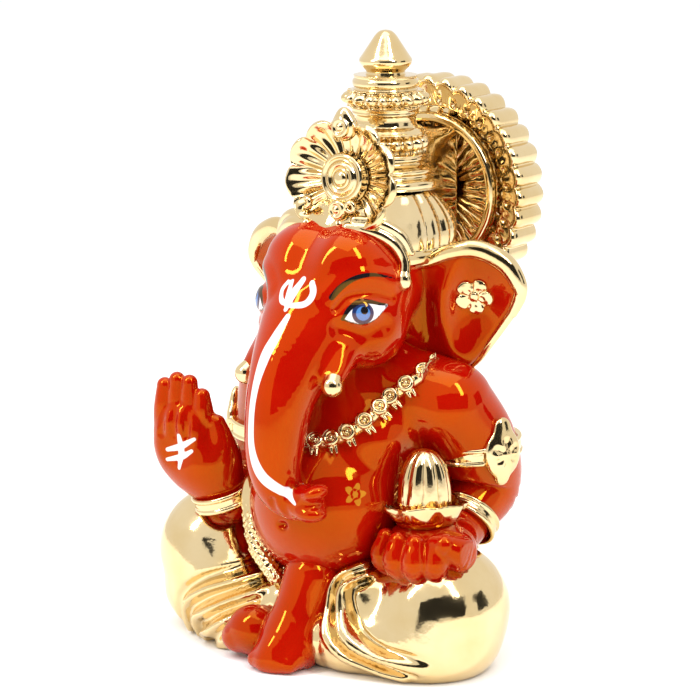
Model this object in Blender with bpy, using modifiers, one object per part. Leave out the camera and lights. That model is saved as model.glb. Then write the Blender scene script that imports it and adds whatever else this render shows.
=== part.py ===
"""A seated elephant-headed idol, as the castings, sprigs and turned pieces that are luted together.

Sizes are in millimetres. The figure faces -Y, its left hand is on +X, and it stands on Z = 0.
"""

import math

import bmesh
import bpy
from mathutils import Euler, Matrix, Vector
from mathutils.bvhtree import BVHTree

MM = 0.001

# ---- Joints between the pieces ----
SEAM = 0.3  # slip joint between neighbours
BED = 0.8  # how deep a relief piece is let into what it sits on

# ---- Seat and legs ----
SEAT_WIDTH = 37.0
SEAT_DEPTH = 28.0
SEAT_HEIGHT = 17.0
SEAT_CENTRE_Y = 6.0
VENT_RADIUS = 2.6  # casting vent in the underside
VENT_DEPTH = 5.0
KNEE_SPREAD = 21.0  # from the middle to each knee
KNEE_FORWARD = 10.5  # from the seat's centre to the knees
KNEE_RADIUS = 10.5
RAISED_KNEE_HEIGHT = 13.0  # centre of the figure's right knee
FOOT_LENGTH = 9.5
FOOT_WIDTH = 9.6
PLEATS = 4

# ---- Torso ----
BELLY_RADIUS = 12.8
BELLY_FORWARD = 12.5  # of the seat's centre
CHEST_WIDTH = 29.0
CHEST_DEPTH = 23.0
CHEST_RISE = 12.0  # chest centre above belly centre
SHOULDER_SPREAD = 16.6
SHOULDER_RADIUS = 7.4
NECK_RADIUS = 9.5

# ---- Arms and hands ----
ELBOW_RADIUS = 6.0
WRIST_RADIUS = 4.3
BRACELET_THICKNESS = 0.9
ARMLET_THICKNESS = 1.0
FINGER_RADIUS = 1.55
PALM_WIDTH = 10.6
PALM_HEIGHT = 11.0
FINGER_LENGTH = 7.0
PALM_YAW = 12.0  # degrees that the raised palm turns towards the middle

# ---- Bowl and sweet ----
BOWL_RADIUS = 6.4
BOWL_DEPTH = 4.4
BOWL_WALL = 0.9
SWEET_RADIUS = 4.5
SWEET_HEIGHT = 11.6
SWEET_LOBES = 9

# ---- Head ----
HEAD_RADIUS = 12.8
HEAD_RISE = 25.0  # head centre above chest centre
TRUNK_ROOT_RADIUS = 9.0
TRUNK_TIP_RADIUS = 3.0
TUSK_RADIUS = 1.5
EAR_LENGTH = 17.2
EAR_HEIGHT = 21.5
EAR_THICKNESS = 2.0
EAR_SWEEP = 22.0  # degrees that the ears lie back
EAR_TRIM_RADIUS = 1.4
FLOWER_RADIUS = 3.1
FLOWER_PETALS = 5

# ---- Crown ----
CROWN_SETBACK = 12.0  # crown axis behind the head's centre
CROWN_RADIUS = 10.0
CROWN_CAP_HEIGHT = 13.0  # head centre to the foot of the crown's tiers
DRUM_HEIGHT = 5.4
RING_RADIUS = 7.3
RING_THICKNESS = 2.4
RING_BEADS = 18
COLLAR_RADIUS = 5.4
COLLAR_HEIGHT = 4.0
PLATE_HEIGHT = 2.2
FINIAL_RADIUS = 4.3
FINIAL_HEIGHT = 7.0
ROSETTE_RADIUS = 8.9
ROSETTE_PETALS = 12
ROSETTE_DISH = 2.6
ROSETTE_WALL = 1.5
BOSS_RADIUS = 3.4
PENDANT_BEAD_RADIUS = 1.5
DROP_RADIUS = 1.25

# ---- Halo ----
HALO_RADIUS = 19.2
HALO_THICKNESS = 8.0
HALO_FLUTES = 32
HALO_RING_WIDTH = 5.4
HALO_GROOVE = 0.9
ARCH_WIDTH = 1.7
ARCH_DEPTH = 6.8
PANEL_THICKNESS = 4.6
WEB_WIDTH = 13.0  # of the rib that joins the crown to the halo

# ---- Jewellery on the body ----
NECKLACE_RADIUS = 1.35
NECKLACE_BEADS = 13
NECKLACE_SWEEP = 190.0  # degrees round the neck
NECKLACE_DROP = 12.5

# ---- Places that follow from the sizes ----
SEAT = Vector((0, SEAT_CENTRE_Y, 0))
LEFT_KNEE = Vector((KNEE_SPREAD, SEAT_CENTRE_Y - KNEE_FORWARD, KNEE_RADIUS - 0.8))
RIGHT_KNEE = Vector((-KNEE_SPREAD - 2.8, LEFT_KNEE.y, RAISED_KNEE_HEIGHT))
BELLY = Vector((0, SEAT_CENTRE_Y - BELLY_FORWARD, BELLY_RADIUS + 12.2))
CHEST = BELLY + Vector((0, 7.5, CHEST_RISE))
NECK = CHEST + Vector((0, 0.5, CHEST_RISE - 1.5))
HEAD = CHEST + Vector((0, -3.0, HEAD_RISE))
CROWN_AXIS_Y = HEAD.y + CROWN_SETBACK
TIERS_FOOT_Z = HEAD.z + CROWN_CAP_HEIGHT
HALO = Vector((0, CROWN_AXIS_Y + CROWN_RADIUS + 1.2, HEAD.z + 10.6))

LAYERS = {}


def collection_named(name):
    made = bpy.data.collections.new(name)
    bpy.context.scene.collection.children.link(made)
    return made


def finish_named(name, colour, roughness, metallic):
    material = bpy.data.materials.new(name)
    material.use_nodes = True
    shader = material.node_tree.nodes["Principled BSDF"]
    shader.inputs["Base Color"].default_value = (*colour, 1.0)
    shader.inputs["Roughness"].default_value = roughness
    shader.inputs["Metallic"].default_value = metallic
    return material


# ---- Clay: overlapping balls and limbs, fused into one skin ----
def put_ball(clay, centre, radii, turn=(0, 0, 0)):
    """An ellipsoid. turn is in degrees."""
    spin = Euler([math.radians(angle) for angle in turn]).to_matrix().to_4x4()
    place = Matrix.Translation(Vector(centre)) @ spin @ Matrix.Diagonal((*radii, 1))
    bmesh.ops.create_uvsphere(clay, u_segments=16, v_segments=10, radius=1, matrix=place)


def along_curve(points, radii, steps):
    """Places and radii read off a smooth curve through the points."""
    points = [Vector(p) for p in points]
    read = []
    for i in range(len(points) - 1):
        before = points[max(i - 1, 0)]
        after = points[min(i + 2, len(points) - 1)]
        start, end = points[i], points[i + 1]
        for step in range(steps):
            t = step / steps
            spot = 0.5 * (
                2 * start
                + (end - before) * t
                + (2 * before - 5 * start + 4 * end - after) * t**2
                + (3 * start - before - 3 * end + after) * t**3
            )
            read.append((spot, radii[i] + (radii[i + 1] - radii[i]) * t))
    read.append((points[-1], radii[-1]))
    return read


def put_limb(clay, points, radii, steps=4):
    """A tapered limb with round ends along a smooth curve."""
    spots = along_curve(points, radii, steps)
    for spot, radius in spots:
        put_ball(clay, spot, (radius, radius, radius))
    for (start, wide), (end, narrow) in zip(spots, spots[1:]):
        way = end - start
        place = Matrix.Translation((start + end) / 2) @ way.to_track_quat("Z", "Y").to_matrix().to_4x4()
        bmesh.ops.create_cone(
            clay, cap_ends=True, segments=14, radius1=wide, radius2=narrow, depth=way.length, matrix=place
        )


def object_of(name, mesh, material, layer="parts"):
    made = bpy.data.objects.new(name, mesh)
    LAYERS[layer].objects.link(made)
    if material:
        mesh.materials.clear()
        mesh.materials.append(material)
    return made


def settle(piece):
    """Makes what the piece's modifiers show its own mesh."""
    bpy.context.view_layer.update()
    graph = bpy.context.evaluated_depsgraph_get()
    mesh = bpy.data.meshes.new_from_object(piece.evaluated_get(graph), depsgraph=graph)
    piece.modifiers.clear()
    piece.data = mesh
    return piece


def keep_main_body(piece):
    """Drops the chips that a cut leaves beside the piece."""
    solid = bmesh.new()
    solid.from_mesh(piece.data)
    left, bodies = set(solid.verts), []
    while left:
        body, edge = set(), [left.pop()]
        while edge:
            vertex = edge.pop()
            body.add(vertex)
            for side in vertex.link_edges:
                other = side.other_vert(vertex)
                if other in left:
                    left.discard(other)
                    edge.append(other)
        bodies.append(body)
    main = max(bodies, key=len)
    bmesh.ops.delete(solid, geom=[v for v in solid.verts if v not in main], context="VERTS")
    solid.to_mesh(piece.data)
    solid.free()


def shade(piece, angle=40):
    piece.data.shade_smooth()
    piece.data.set_sharp_from_angle(angle=math.radians(angle))


def fuse(name, clay, material, triangles, grain=0.9, rounds=5):
    """One closed skin over the clay, smoothed and thinned to about so many triangles."""
    mesh = bpy.data.meshes.new(name)
    bmesh.ops.scale(clay, vec=(MM, MM, MM), verts=clay.verts)
    clay.to_mesh(mesh)
    clay.free()
    piece = object_of(name, mesh, material)
    remesh = piece.modifiers.new("skin", "REMESH")
    remesh.mode = "VOXEL"
    remesh.voxel_size = grain * MM
    smooth = piece.modifiers.new("smooth", "SMOOTH")
    smooth.factor = 0.5
    smooth.iterations = rounds
    settle(piece)
    keep_main_body(piece)
    faces = sum(len(polygon.vertices) - 2 for polygon in piece.data.polygons)
    thin = piece.modifiers.new("thin", "DECIMATE")
    thin.ratio = min(1.0, triangles / faces)
    settle(piece)
    shade(piece)
    return piece


def swollen(neighbour, gap=SEAM):
    """A cutter: the neighbour grown by the gap."""
    cutter = object_of(neighbour.name + "_cutter", neighbour.data.copy(), None, "cutters")
    cutter.matrix_world = neighbour.matrix_world
    grow = cutter.modifiers.new("grow", "DISPLACE")
    grow.strength = gap * MM
    grow.mid_level = 0
    cutter.hide_render = True
    cutter.display_type = "WIRE"
    return cutter


def cut(piece, *cutters):
    for cutter in cutters:
        take = piece.modifiers.new(cutter.name, "BOOLEAN")
        take.operation = "DIFFERENCE"
        take.object = cutter
    settle(piece)
    keep_main_body(piece)
    shade(piece)
    return piece


def seat_on(piece, *neighbours):
    """Lets the piece's joint faces follow its neighbours, a seam away."""
    return cut(piece, *[swollen(neighbour) for neighbour in neighbours])


def floor_cutter():
    """A slab that trims whatever reaches below the standing plane."""
    slab = bmesh.new()
    bmesh.ops.create_cube(slab, size=1, matrix=Matrix.Diagonal((200 * MM, 200 * MM, 20 * MM, 1)))
    mesh = bpy.data.meshes.new("floor_cutter")
    slab.to_mesh(mesh)
    slab.free()
    cutter = object_of("floor_cutter", mesh, None, "cutters")
    cutter.location.z = -10 * MM
    cutter.hide_render = True
    cutter.display_type = "WIRE"
    return cutter


# ---- Turned, tubed and flat pieces ----
def turned(name, profile, material, place, steps=24, layer="parts"):
    """A closed profile of (radius, height) turned about Z, at a place with no tilt or a tilted matrix."""
    mesh = bpy.data.meshes.new(name)
    points = [(radius * MM, 0, height * MM) for radius, height in profile]
    closed = profile[0][0] > 0 and profile[-1][0] > 0
    edges = [(i, i + 1) for i in range(len(points) - 1)]
    if closed:
        edges.append((len(points) - 1, 0))
    mesh.from_pydata(points, edges, [])
    piece = object_of(name, mesh, material, layer)
    screw = piece.modifiers.new("turn", "SCREW")
    screw.steps = steps
    screw.render_steps = steps
    screw.use_merge_vertices = True
    screw.merge_threshold = 0.00001
    piece.matrix_world = placed(place)
    settle(piece)
    shade(piece, 35)
    return piece


def placed(place):
    """A matrix in metres from a place in millimetres, or a matrix in millimetres."""
    if isinstance(place, Matrix):
        matrix = place.copy()
        matrix.translation = place.translation * MM
        return matrix
    return Matrix.Translation(Vector(place) * MM)


def facing_front(place, tilt=0):
    """A frame at a place whose Z looks out of the figure's front, tilted up by so many degrees."""
    return Matrix.Translation(Vector(place)) @ Euler((math.radians(90 - tilt), 0, 0)).to_matrix().to_4x4()


def flat(name, outlines, thickness, material, place, bevel=0.0):
    """Closed outlines in X and Y, filled and thickened along Z about the place."""
    curve = bpy.data.curves.new(name, "CURVE")
    curve.dimensions = "2D"
    curve.fill_mode = "BOTH"
    curve.extrude = (thickness / 2 - bevel) * MM
    curve.bevel_depth = bevel * MM
    curve.bevel_resolution = 1
    curve.offset = -bevel * MM
    for outline in outlines:
        spline = curve.splines.new("POLY")
        spline.points.add(len(outline) - 1)
        for point, (x, y) in zip(spline.points, outline):
            point.co = (x * MM, y * MM, 0, 1)
        spline.use_cyclic_u = True
    return from_curve(name, curve, material, place)


def tube(name, points, radius, material, steps=4, closed=False, sides=1, taper=1.0):
    """A round bar through the points, its ends drawn down to a share of the radius."""
    curve = bpy.data.curves.new(name, "CURVE")
    curve.dimensions = "3D"
    curve.bevel_depth = radius * MM
    curve.bevel_resolution = sides
    curve.use_fill_caps = True
    spots = points if closed else [spot for spot, _ in along_curve(points, [1] * len(points), steps)]
    spline = curve.splines.new("POLY")
    spline.points.add(len(spots) - 1)
    for i, (point, spot) in enumerate(zip(spline.points, spots)):
        point.co = (*(Vector(spot) * MM), 1)
        point.radius = taper + (1 - taper) * math.sin(math.pi * i / (len(spots) - 1)) ** 0.5
    spline.use_cyclic_u = closed
    return from_curve(name, curve, material, (0, 0, 0))


def from_curve(name, curve, material, place):
    """The curve's solid as a mesh with its caps welded."""
    source = bpy.data.objects.new(name + "_curve", curve)
    LAYERS["cutters"].objects.link(source)
    bpy.context.view_layer.update()
    graph = bpy.context.evaluated_depsgraph_get()
    mesh = bpy.data.meshes.new_from_object(source.evaluated_get(graph), depsgraph=graph)
    bpy.data.objects.remove(source)
    solid = bmesh.new()
    solid.from_mesh(mesh)
    bmesh.ops.remove_doubles(solid, verts=solid.verts, dist=0.00001)
    bmesh.ops.recalc_face_normals(solid, faces=solid.faces)
    solid.to_mesh(mesh)
    solid.free()
    piece = object_of(name, mesh, material)
    piece.matrix_world = placed(place)
    shade(piece)
    return piece


def scalloped(radius, lobes, depth, points_each=4, phase=0.0):
    """A circle whose edge swells into round lobes."""
    count = lobes * points_each
    outline = []
    for i in range(count):
        angle = 2 * math.pi * i / count
        swell = abs(math.cos(lobes * angle / 2 + phase))
        reach = radius - depth * (1 - swell)
        outline.append((reach * math.cos(angle), reach * math.sin(angle)))
    return outline


def circle(radius, count):
    return [
        (radius * math.cos(2 * math.pi * i / count), radius * math.sin(2 * math.pi * i / count))
        for i in range(count)
    ]


# ---- Seat and legs ----
def make_seat(gold, floor):
    clay = bmesh.new()
    middle = SEAT + Vector((0, 0, SEAT_HEIGHT * 0.45))
    put_ball(clay, middle, (SEAT_WIDTH / 2, SEAT_DEPTH / 2, SEAT_HEIGHT * 0.55))
    put_ball(clay, SEAT + Vector((0, 1, 3)), (SEAT_WIDTH / 2 - 2, SEAT_DEPTH / 2 - 1, 5))
    seat = fuse("seat_wrap", clay, gold, 260)
    vent = turned(
        "vent_cutter",
        [(0, VENT_DEPTH), (VENT_RADIUS * 0.8, VENT_DEPTH), (VENT_RADIUS, -1), (0, -1)],
        None,
        SEAT,
        steps=16,
        layer="cutters",
    )
    vent.hide_render = True
    vent.display_type = "WIRE"
    return cut(seat, floor, vent)


def make_legs(gold, floor, seat):
    """The left leg lies folded, and the right knee is raised. Both are wrapped in cloth."""
    legs = {}
    reach = KNEE_RADIUS
    clay = bmesh.new()
    put_ball(clay, LEFT_KNEE, (reach * 0.97, reach * 1.05, reach * 0.95))
    put_ball(clay, (LEFT_KNEE.x - 1, LEFT_KNEE.y - 1, 4), (reach * 0.98, reach * 1.06, 6.5))
    put_limb(clay, [(12, SEAT_CENTRE_Y + 3, 9.5), LEFT_KNEE + Vector((-1, 3, 0))], [9.5, reach * 0.94])
    put_limb(
        clay,
        [LEFT_KNEE + Vector((-2, -4, -3)), (11, LEFT_KNEE.y - 9, 5), (6, LEFT_KNEE.y - 10, 4.5)],
        [7.5, 5.5, 4.5],
    )
    legs["left"] = fuse("left_leg_wrap", clay, gold, 360)
    clay = bmesh.new()
    put_ball(clay, RIGHT_KNEE, (reach * 0.95, reach, reach * 0.98))
    put_ball(clay, (RIGHT_KNEE.x + 1.5, RIGHT_KNEE.y - 0.5, 4), (reach * 0.95, reach * 0.95, 6))
    put_limb(clay, [(-12, SEAT_CENTRE_Y + 3, 10), RIGHT_KNEE + Vector((1, 3, -2))], [9.5, reach * 0.9])
    put_limb(
        clay,
        [RIGHT_KNEE - Vector((-4, 3, 4)), (-9, RIGHT_KNEE.y - 7, 6), (-3, RIGHT_KNEE.y - 7.5, 7)],
        [8, 5.5, 4.5],
    )
    legs["right"] = fuse("right_leg_wrap", clay, gold, 360)
    for leg in legs.values():
        cut(leg, floor)
        seat_on(leg, seat)
    return legs


def make_feet(red, floor, seat, legs):
    toe_y = LEFT_KNEE.y - KNEE_RADIUS - FOOT_LENGTH
    clay = bmesh.new()
    put_limb(
        clay,
        [(2.4, toe_y + 11, 14), (2.2, toe_y + 9, 9), (1.0, toe_y + 7, 4.6)],
        [4.6, 4.9, FOOT_WIDTH / 2],
    )
    put_limb(clay, [(0.6, toe_y + 6.4, 3.4), (0.4, toe_y + 3, 2.2)], [4.8, 3.0])
    for toe in range(4):
        side = (toe - 1.5) * FOOT_WIDTH / 4.6
        put_limb(
            clay,
            [(side + 0.4, toe_y + 4, 2.6), (side + 0.2, toe_y + 1.3 + abs(toe - 1) * 0.5, 1.5)],
            [1.5, 1.2],
            steps=2,
        )
    front = fuse("front_foot", clay, red, 300, grain=0.6, rounds=3)
    cut(front, floor)
    seat_on(front, seat, legs["left"], legs["right"])
    clay = bmesh.new()
    heel = Vector((-6.2, RIGHT_KNEE.y - 12.5, 4.6))
    put_ball(clay, heel, (4.8, 4.0, 4.2), (0, 15, 20))
    put_limb(clay, [heel, heel + Vector((-3.0, -1.2, -1.2))], [3.2, 2.6])
    tucked = fuse("tucked_foot", clay, red, 160)
    cut(tucked, floor)
    seat_on(tucked, legs["right"], front)
    return front, tucked


def make_pleats(gold, floor, *neighbours):
    """Folds of cloth that fall between the shin and the left knee, and sweep out along the floor."""
    clay = bmesh.new()
    front = LEFT_KNEE.y - KNEE_RADIUS
    for fold in range(PLEATS):
        out = fold * 2.1
        put_limb(
            clay,
            [
                (5.0 + out * 0.7, front + 2.5, 15.0),
                (5.8 + out * 0.8, front - 3.6 + out * 0.2, 8.5),
                (8.0 + out * 0.9, front - 4.6 + out * 0.25, 3.4 + out * 0.5),
                (15 + out, front - 1.8 + out * 0.2, 1.9 + out * 0.9),
            ],
            [1.7, 1.9, 1.9, 1.5],
        )
    pleats = fuse("cloth_pleats", clay, gold, 340, grain=0.6, rounds=2)
    cut(pleats, floor)
    return seat_on(pleats, *neighbours)


# ---- Torso ----
def make_torso(red, seat, *neighbours):
    clay = bmesh.new()
    put_ball(clay, BELLY, (BELLY_RADIUS, BELLY_RADIUS * 0.98, BELLY_RADIUS * 1.04))
    put_ball(clay, CHEST, (CHEST_WIDTH / 2, CHEST_DEPTH / 2, CHEST_RISE))
    put_ball(clay, (0, SEAT_CENTRE_Y, BELLY.z - 3), (CHEST_WIDTH / 2, CHEST_DEPTH / 2 - 1, CHEST_RISE + 1))
    put_ball(clay, NECK, (NECK_RADIUS, NECK_RADIUS, NECK_RADIUS * 0.7))
    for side in (-1, 1):
        put_ball(clay, CHEST + Vector((side * 11, 2.5, 4.5)), (7.5, 7.5, 7))
    torso = fuse("torso", clay, red, 460)
    return seat_on(torso, seat, *neighbours)


def make_sash(gold, *neighbours):
    """The end of the shoulder cloth, tucked between the belly and the right thigh."""
    clay = bmesh.new()
    put_limb(
        clay,
        [
            (-10.5, BELLY.y - 3.5, BELLY.z + 6),
            (-11.5, BELLY.y - 4.5, BELLY.z),
            (-9.0, BELLY.y - 7.0, BELLY.z - 7),
            (-4.0, BELLY.y - 9.0, BELLY.z - 11.5),
        ],
        [1.6, 2.0, 1.7, 1.3],
    )
    sash = fuse("sash_end", clay, gold, 180, grain=0.6, rounds=2)
    return seat_on(sash, *neighbours)


def make_necklace(gold, torso):
    """A band of flower sprigs across the chest, let into it."""
    clay = bmesh.new()
    spots = []
    mesh = torso.data
    skin = BVHTree.FromPolygons([v.co for v in mesh.vertices], [p.vertices for p in mesh.polygons])
    axis = NECK + Vector((0, 1, 0))
    for bead in range(NECKLACE_BEADS):
        turn = math.radians(NECKLACE_SWEEP) * (bead / (NECKLACE_BEADS - 1) - 0.5)
        way = Vector((math.sin(turn), -math.cos(turn), 0))
        height = NECK.z + 1.0 - NECKLACE_DROP * max(math.cos(turn), 0) ** 1.5
        start = Vector((axis.x, axis.y, height)) + way * 60
        spot, facing, _, _ = skin.ray_cast(start * MM, -way)
        spots.append(spot / MM + facing * SEAM)
    put_limb(clay, spots, [NECKLACE_RADIUS * 0.8] * len(spots), steps=2)
    for spot in spots:
        put_ball(clay, spot, (NECKLACE_RADIUS * 1.3,) * 3)
    necklace = fuse("necklace", clay, gold, 460, grain=0.5, rounds=1)
    return seat_on(necklace, torso)


# ---- Arms and hands ----
def arm_places(side):
    """Shoulder, mid upper arm, elbow and wrist of the left (1) or right (-1) arm."""
    shoulder = Vector((side * SHOULDER_SPREAD, CHEST.y + 3, CHEST.z + 4))
    if side > 0:
        elbow = shoulder + Vector((2.9, 6.0, -14.0))
        return [shoulder, shoulder + Vector((2.6, 4.0, -7.0)), elbow, elbow + Vector((0, -5.5, -4.5))]
    elbow = shoulder + Vector((-3.0, -1.0, -16.0))
    return [shoulder, shoulder + Vector((-2.8, 1.5, -8.0)), elbow, elbow + Vector((1.0, -10.5, -1.8))]


def make_arm(name, side, red, *neighbours):
    clay = bmesh.new()
    radii = [SHOULDER_RADIUS, ELBOW_RADIUS + 0.7, ELBOW_RADIUS, WRIST_RADIUS]
    put_limb(clay, arm_places(side), radii)
    arm = fuse(name, clay, red, 260)
    return seat_on(arm, *neighbours)


def ring_about(centre, way, radius, count=18):
    """Points of a circle about a line through the centre."""
    frame = Matrix.Translation(Vector(centre)) @ Vector(way).to_track_quat("Z", "Y").to_matrix().to_4x4()
    return [frame @ Vector((x, y, 0)) for x, y in circle(radius, count)]


def make_armlet(name, side, gold, *neighbours):
    """A band round the upper arm with a flame-shaped plaque outside."""
    shoulder, middle, elbow, _ = arm_places(side)
    way = (elbow - shoulder).normalized()
    clay = bmesh.new()
    ring = ring_about(middle, way, ELBOW_RADIUS + 0.9)
    put_limb(clay, ring + ring[:1], [ARMLET_THICKNESS] * (len(ring) + 1), steps=1)
    out = Vector((side * 1.0, -0.35, 0)).normalized()
    plaque = middle + out * (ELBOW_RADIUS + 0.9)
    turn = math.degrees(math.atan2(out.y, out.x))
    put_ball(clay, plaque, (1.5, 3.0, 3.6), (0, 0, turn))
    put_ball(clay, plaque + Vector((0, 0, 3.2)), (1.1, 1.6, 2.0), (0, 0, turn))
    armlet = fuse(name, clay, gold, 220, grain=0.5, rounds=2)
    return seat_on(armlet, *neighbours)


def make_bracelet(name, centre, way, gold, *neighbours):
    ring = ring_about(centre, way, WRIST_RADIUS + 0.5)
    bracelet = tube(name, ring, BRACELET_THICKNESS + 0.35, gold, closed=True)
    return seat_on(bracelet, *neighbours)


def bowl_place():
    wrist = arm_places(1)[3]
    return wrist + Vector((-1.5, -9.8, 0.4))


def make_bowl(gold):
    base = BOWL_RADIUS * 0.5
    outside = [(base, 0), (BOWL_RADIUS * 0.82, BOWL_DEPTH * 0.35), (BOWL_RADIUS, BOWL_DEPTH)]
    low_edge = (BOWL_RADIUS * 0.82 - BOWL_WALL, BOWL_DEPTH * 0.35 + BOWL_WALL)
    inside = [(BOWL_RADIUS - BOWL_WALL, BOWL_DEPTH), low_edge]
    profile = [(0, BOWL_WALL), *reversed(inside), *reversed(outside), (0, 0)]
    return turned("sweet_bowl", profile, gold, bowl_place())


def make_sweet(gold, bowl):
    """A fluted dome that stands in the bowl."""
    foot = bowl_place() + Vector((0, 0, BOWL_WALL + SEAM))
    sink = BOWL_DEPTH - BOWL_WALL - 1.0
    outline = scalloped(1.0, SWEET_LOBES, 0.12, 3)
    profile = [(0.62, 0), (0.62, sink * 0.5), (0.98, sink), (1.0, sink + 1.5), (0.86, SWEET_HEIGHT * 0.7)]
    profile += [(0.55, SWEET_HEIGHT * 0.92), (0.2, SWEET_HEIGHT * 1.02)]
    skin = bmesh.new()
    rings = []
    for share, height in profile:
        rings.append([
            skin.verts.new((x * share * SWEET_RADIUS * MM, y * share * SWEET_RADIUS * MM, height * MM))
            for x, y in outline
        ])
    for low, high in zip(rings, rings[1:]):
        for i in range(len(low)):
            j = (i + 1) % len(low)
            skin.faces.new((low[i], low[j], high[j], high[i]))
    skin.faces.new(list(reversed(rings[0])))
    skin.faces.new(rings[-1])
    mesh = bpy.data.meshes.new("sweet")
    skin.to_mesh(mesh)
    skin.free()
    piece = object_of("sweet", mesh, gold)
    piece.matrix_world = placed(foot)
    settle(piece)
    return seat_on(piece, bowl)


def make_left_hand(red, *neighbours):
    """A cupped hand under the bowl, fingers curling up its front."""
    wrist = arm_places(1)[3]
    bowl = bowl_place()
    palm = bowl + Vector((0, 0.5, -3.2))
    clay = bmesh.new()
    put_limb(clay, [wrist + Vector((0, -0.6, -0.6)), palm + Vector((0, 3, -0.5))], [WRIST_RADIUS, 5.0])
    put_ball(clay, palm, (7.2, 6.6, 4.6))
    put_ball(clay, palm + Vector((-0.5, -1.0, -3.6)), (5.2, 4.8, 3.6))
    for finger in range(4):
        turn = math.radians(196 + 29 * finger)
        out = Vector((math.cos(turn), math.sin(turn), 0))
        put_limb(
            clay,
            [palm + out * 4.5 + Vector((0, 0, -3)), palm + out * 7.2, palm + out * 6.4 + Vector((0, 0, 4.6))],
            [FINGER_RADIUS * 1.1, FINGER_RADIUS * 1.1, FINGER_RADIUS * 0.9],
            steps=3,
        )
    thumb = Vector((math.cos(math.radians(-28)), math.sin(math.radians(-28)), 0))
    put_limb(clay, [palm + thumb * 5, palm + thumb * 7.2 + Vector((0, 0, 3.5))], [2.2, 1.7])
    hand = fuse("left_hand", clay, red, 460, grain=0.6, rounds=2)
    return seat_on(hand, *neighbours)


def right_hand_places():
    """Wrist, palm centre and fingertip height of the raised hand."""
    wrist = arm_places(-1)[3] + Vector((-0.4, -2.4, 1.4))
    palm = wrist + Vector((-4.2, -4.0, PALM_HEIGHT / 2 + 3.2))
    return wrist, palm


def make_right_hand(red, *neighbours):
    """A raised open hand, palm to the front, with a deep heel."""
    wrist, palm = right_hand_places()
    clay = bmesh.new()
    half = PALM_WIDTH / 2
    put_ball(clay, palm, (half, 3.2, PALM_HEIGHT / 2 + 1.5), (8, 0, PALM_YAW))
    put_ball(clay, palm + Vector((0.8, 3.4, -2.6)), (half - 0.6, 4.2, 6.0), (-25, 0, PALM_YAW))
    put_limb(clay, [wrist, palm + Vector((1.2, 2.5, -5))], [WRIST_RADIUS - 0.2, 4.4])
    across = Vector((math.cos(math.radians(PALM_YAW)), math.sin(math.radians(PALM_YAW)), 0))
    for finger in range(4):
        side = across * (finger - 1.5) * PALM_WIDTH / 4.15
        rise = FINGER_LENGTH - (1.6, 0.5, 0.0, 1.2)[finger]
        put_limb(
            clay,
            [palm + side + Vector((0, 0.2, 3)), palm + side * 0.95 + Vector((0, -0.2, 4.2 + rise))],
            [FINGER_RADIUS * 1.1, FINGER_RADIUS * 0.95],
        )
    thumb = palm + across * half
    put_limb(clay, [thumb + Vector((-0.5, 1.0, -4.0)), thumb + Vector((1.2, -0.8, 2.4))], [2.6, 1.6])
    hand = fuse("right_hand", clay, red, 460, grain=0.6, rounds=2)
    return seat_on(hand, *neighbours)


# ---- Head ----
def make_head(red, room, torso, *neighbours):
    clay = bmesh.new()
    put_ball(clay, HEAD + Vector((0, 1, -1.5)), (HEAD_RADIUS, HEAD_RADIUS * 0.98, HEAD_RADIUS * 0.87))
    for side in (-1, 1):
        put_ball(clay, HEAD + Vector((side * 4.8, -4.4, 2.8)), (6.6, 6.4, 5.7))
        put_ball(clay, HEAD + Vector((side * 7.0, -3.2, -7.0)), (6.3, 6.8, 7.0))
    put_ball(clay, HEAD + Vector((0, -8, -14)), (5.5, 5, 3.6))
    root, tip = TRUNK_ROOT_RADIUS, TRUNK_TIP_RADIUS
    brow = HEAD + Vector((0, -5.0, -4.0))
    put_limb(
        clay,
        [
            brow,
            brow + Vector((0, -5.5, -5)),
            brow + Vector((0, -9.8, -9.5)),
            brow + Vector((0, -12.6, -14.5)),
            brow + Vector((0, -14.2, -21.5)),
            brow + Vector((0.8, -14.2, -25.5)),
            brow + Vector((3.0, -13.4, -28.4)),
            brow + Vector((6.3, -12.8, -29)),
            brow + Vector((9.0, -12.5, -27.4)),
        ],
        [root, root * 0.87, root * 0.7, root * 0.58, root * 0.48, root * 0.445, root * 0.41, tip * 1.1, tip],
        steps=3,
    )
    head = fuse("head_and_trunk", clay, red, 900, grain=0.8, rounds=4)
    cut(head, room)
    return seat_on(head, torso, *neighbours)


def make_tusk(name, side, gold, head):
    root = HEAD + Vector((side * 7.2, -11.2, -11.5))
    clay = bmesh.new()
    put_limb(
        clay,
        [root, root + Vector((side * 0.7, -2.4, -2.0)), root + Vector((side * 1.3, -4.2, -3.6))],
        [TUSK_RADIUS * 1.15, TUSK_RADIUS, TUSK_RADIUS * 0.95],
    )
    tusk = fuse(name, clay, gold, 90, grain=0.4, rounds=2)
    return seat_on(tusk, head)


def ear_frame(side):
    """A frame in the ear's plane: X out along the ear, and Y up."""
    sweep = math.radians(EAR_SWEEP)
    out = Vector((side * math.cos(sweep), math.sin(sweep), 0))
    up = Vector((0, 0, 1))
    root = HEAD + Vector((side * (HEAD_RADIUS - 1.3), 5.5, -5.0))
    columns = Matrix((out, up, out.cross(up))).transposed()
    return Matrix.Translation(root) @ columns.to_4x4()


def ear_outline():
    """The ear's edge from the top of its root, round the tip and back, in its own plane."""
    long, tall = EAR_LENGTH, EAR_HEIGHT
    shares = [
        (-0.17, 0.33), (0.06, 0.36), (0.28, 0.43), (0.49, 0.465), (0.66, 0.44), (0.84, 0.35), (0.95, 0.21),
        (0.965, 0.09), (0.895, -0.03), (0.79, -0.15), (0.66, -0.29), (0.535, -0.42), (0.385, -0.50),
        (0.20, -0.51), (0.02, -0.45), (-0.12, -0.35),
    ]
    return [(x * long, y * tall) for x, y in shares]


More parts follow.
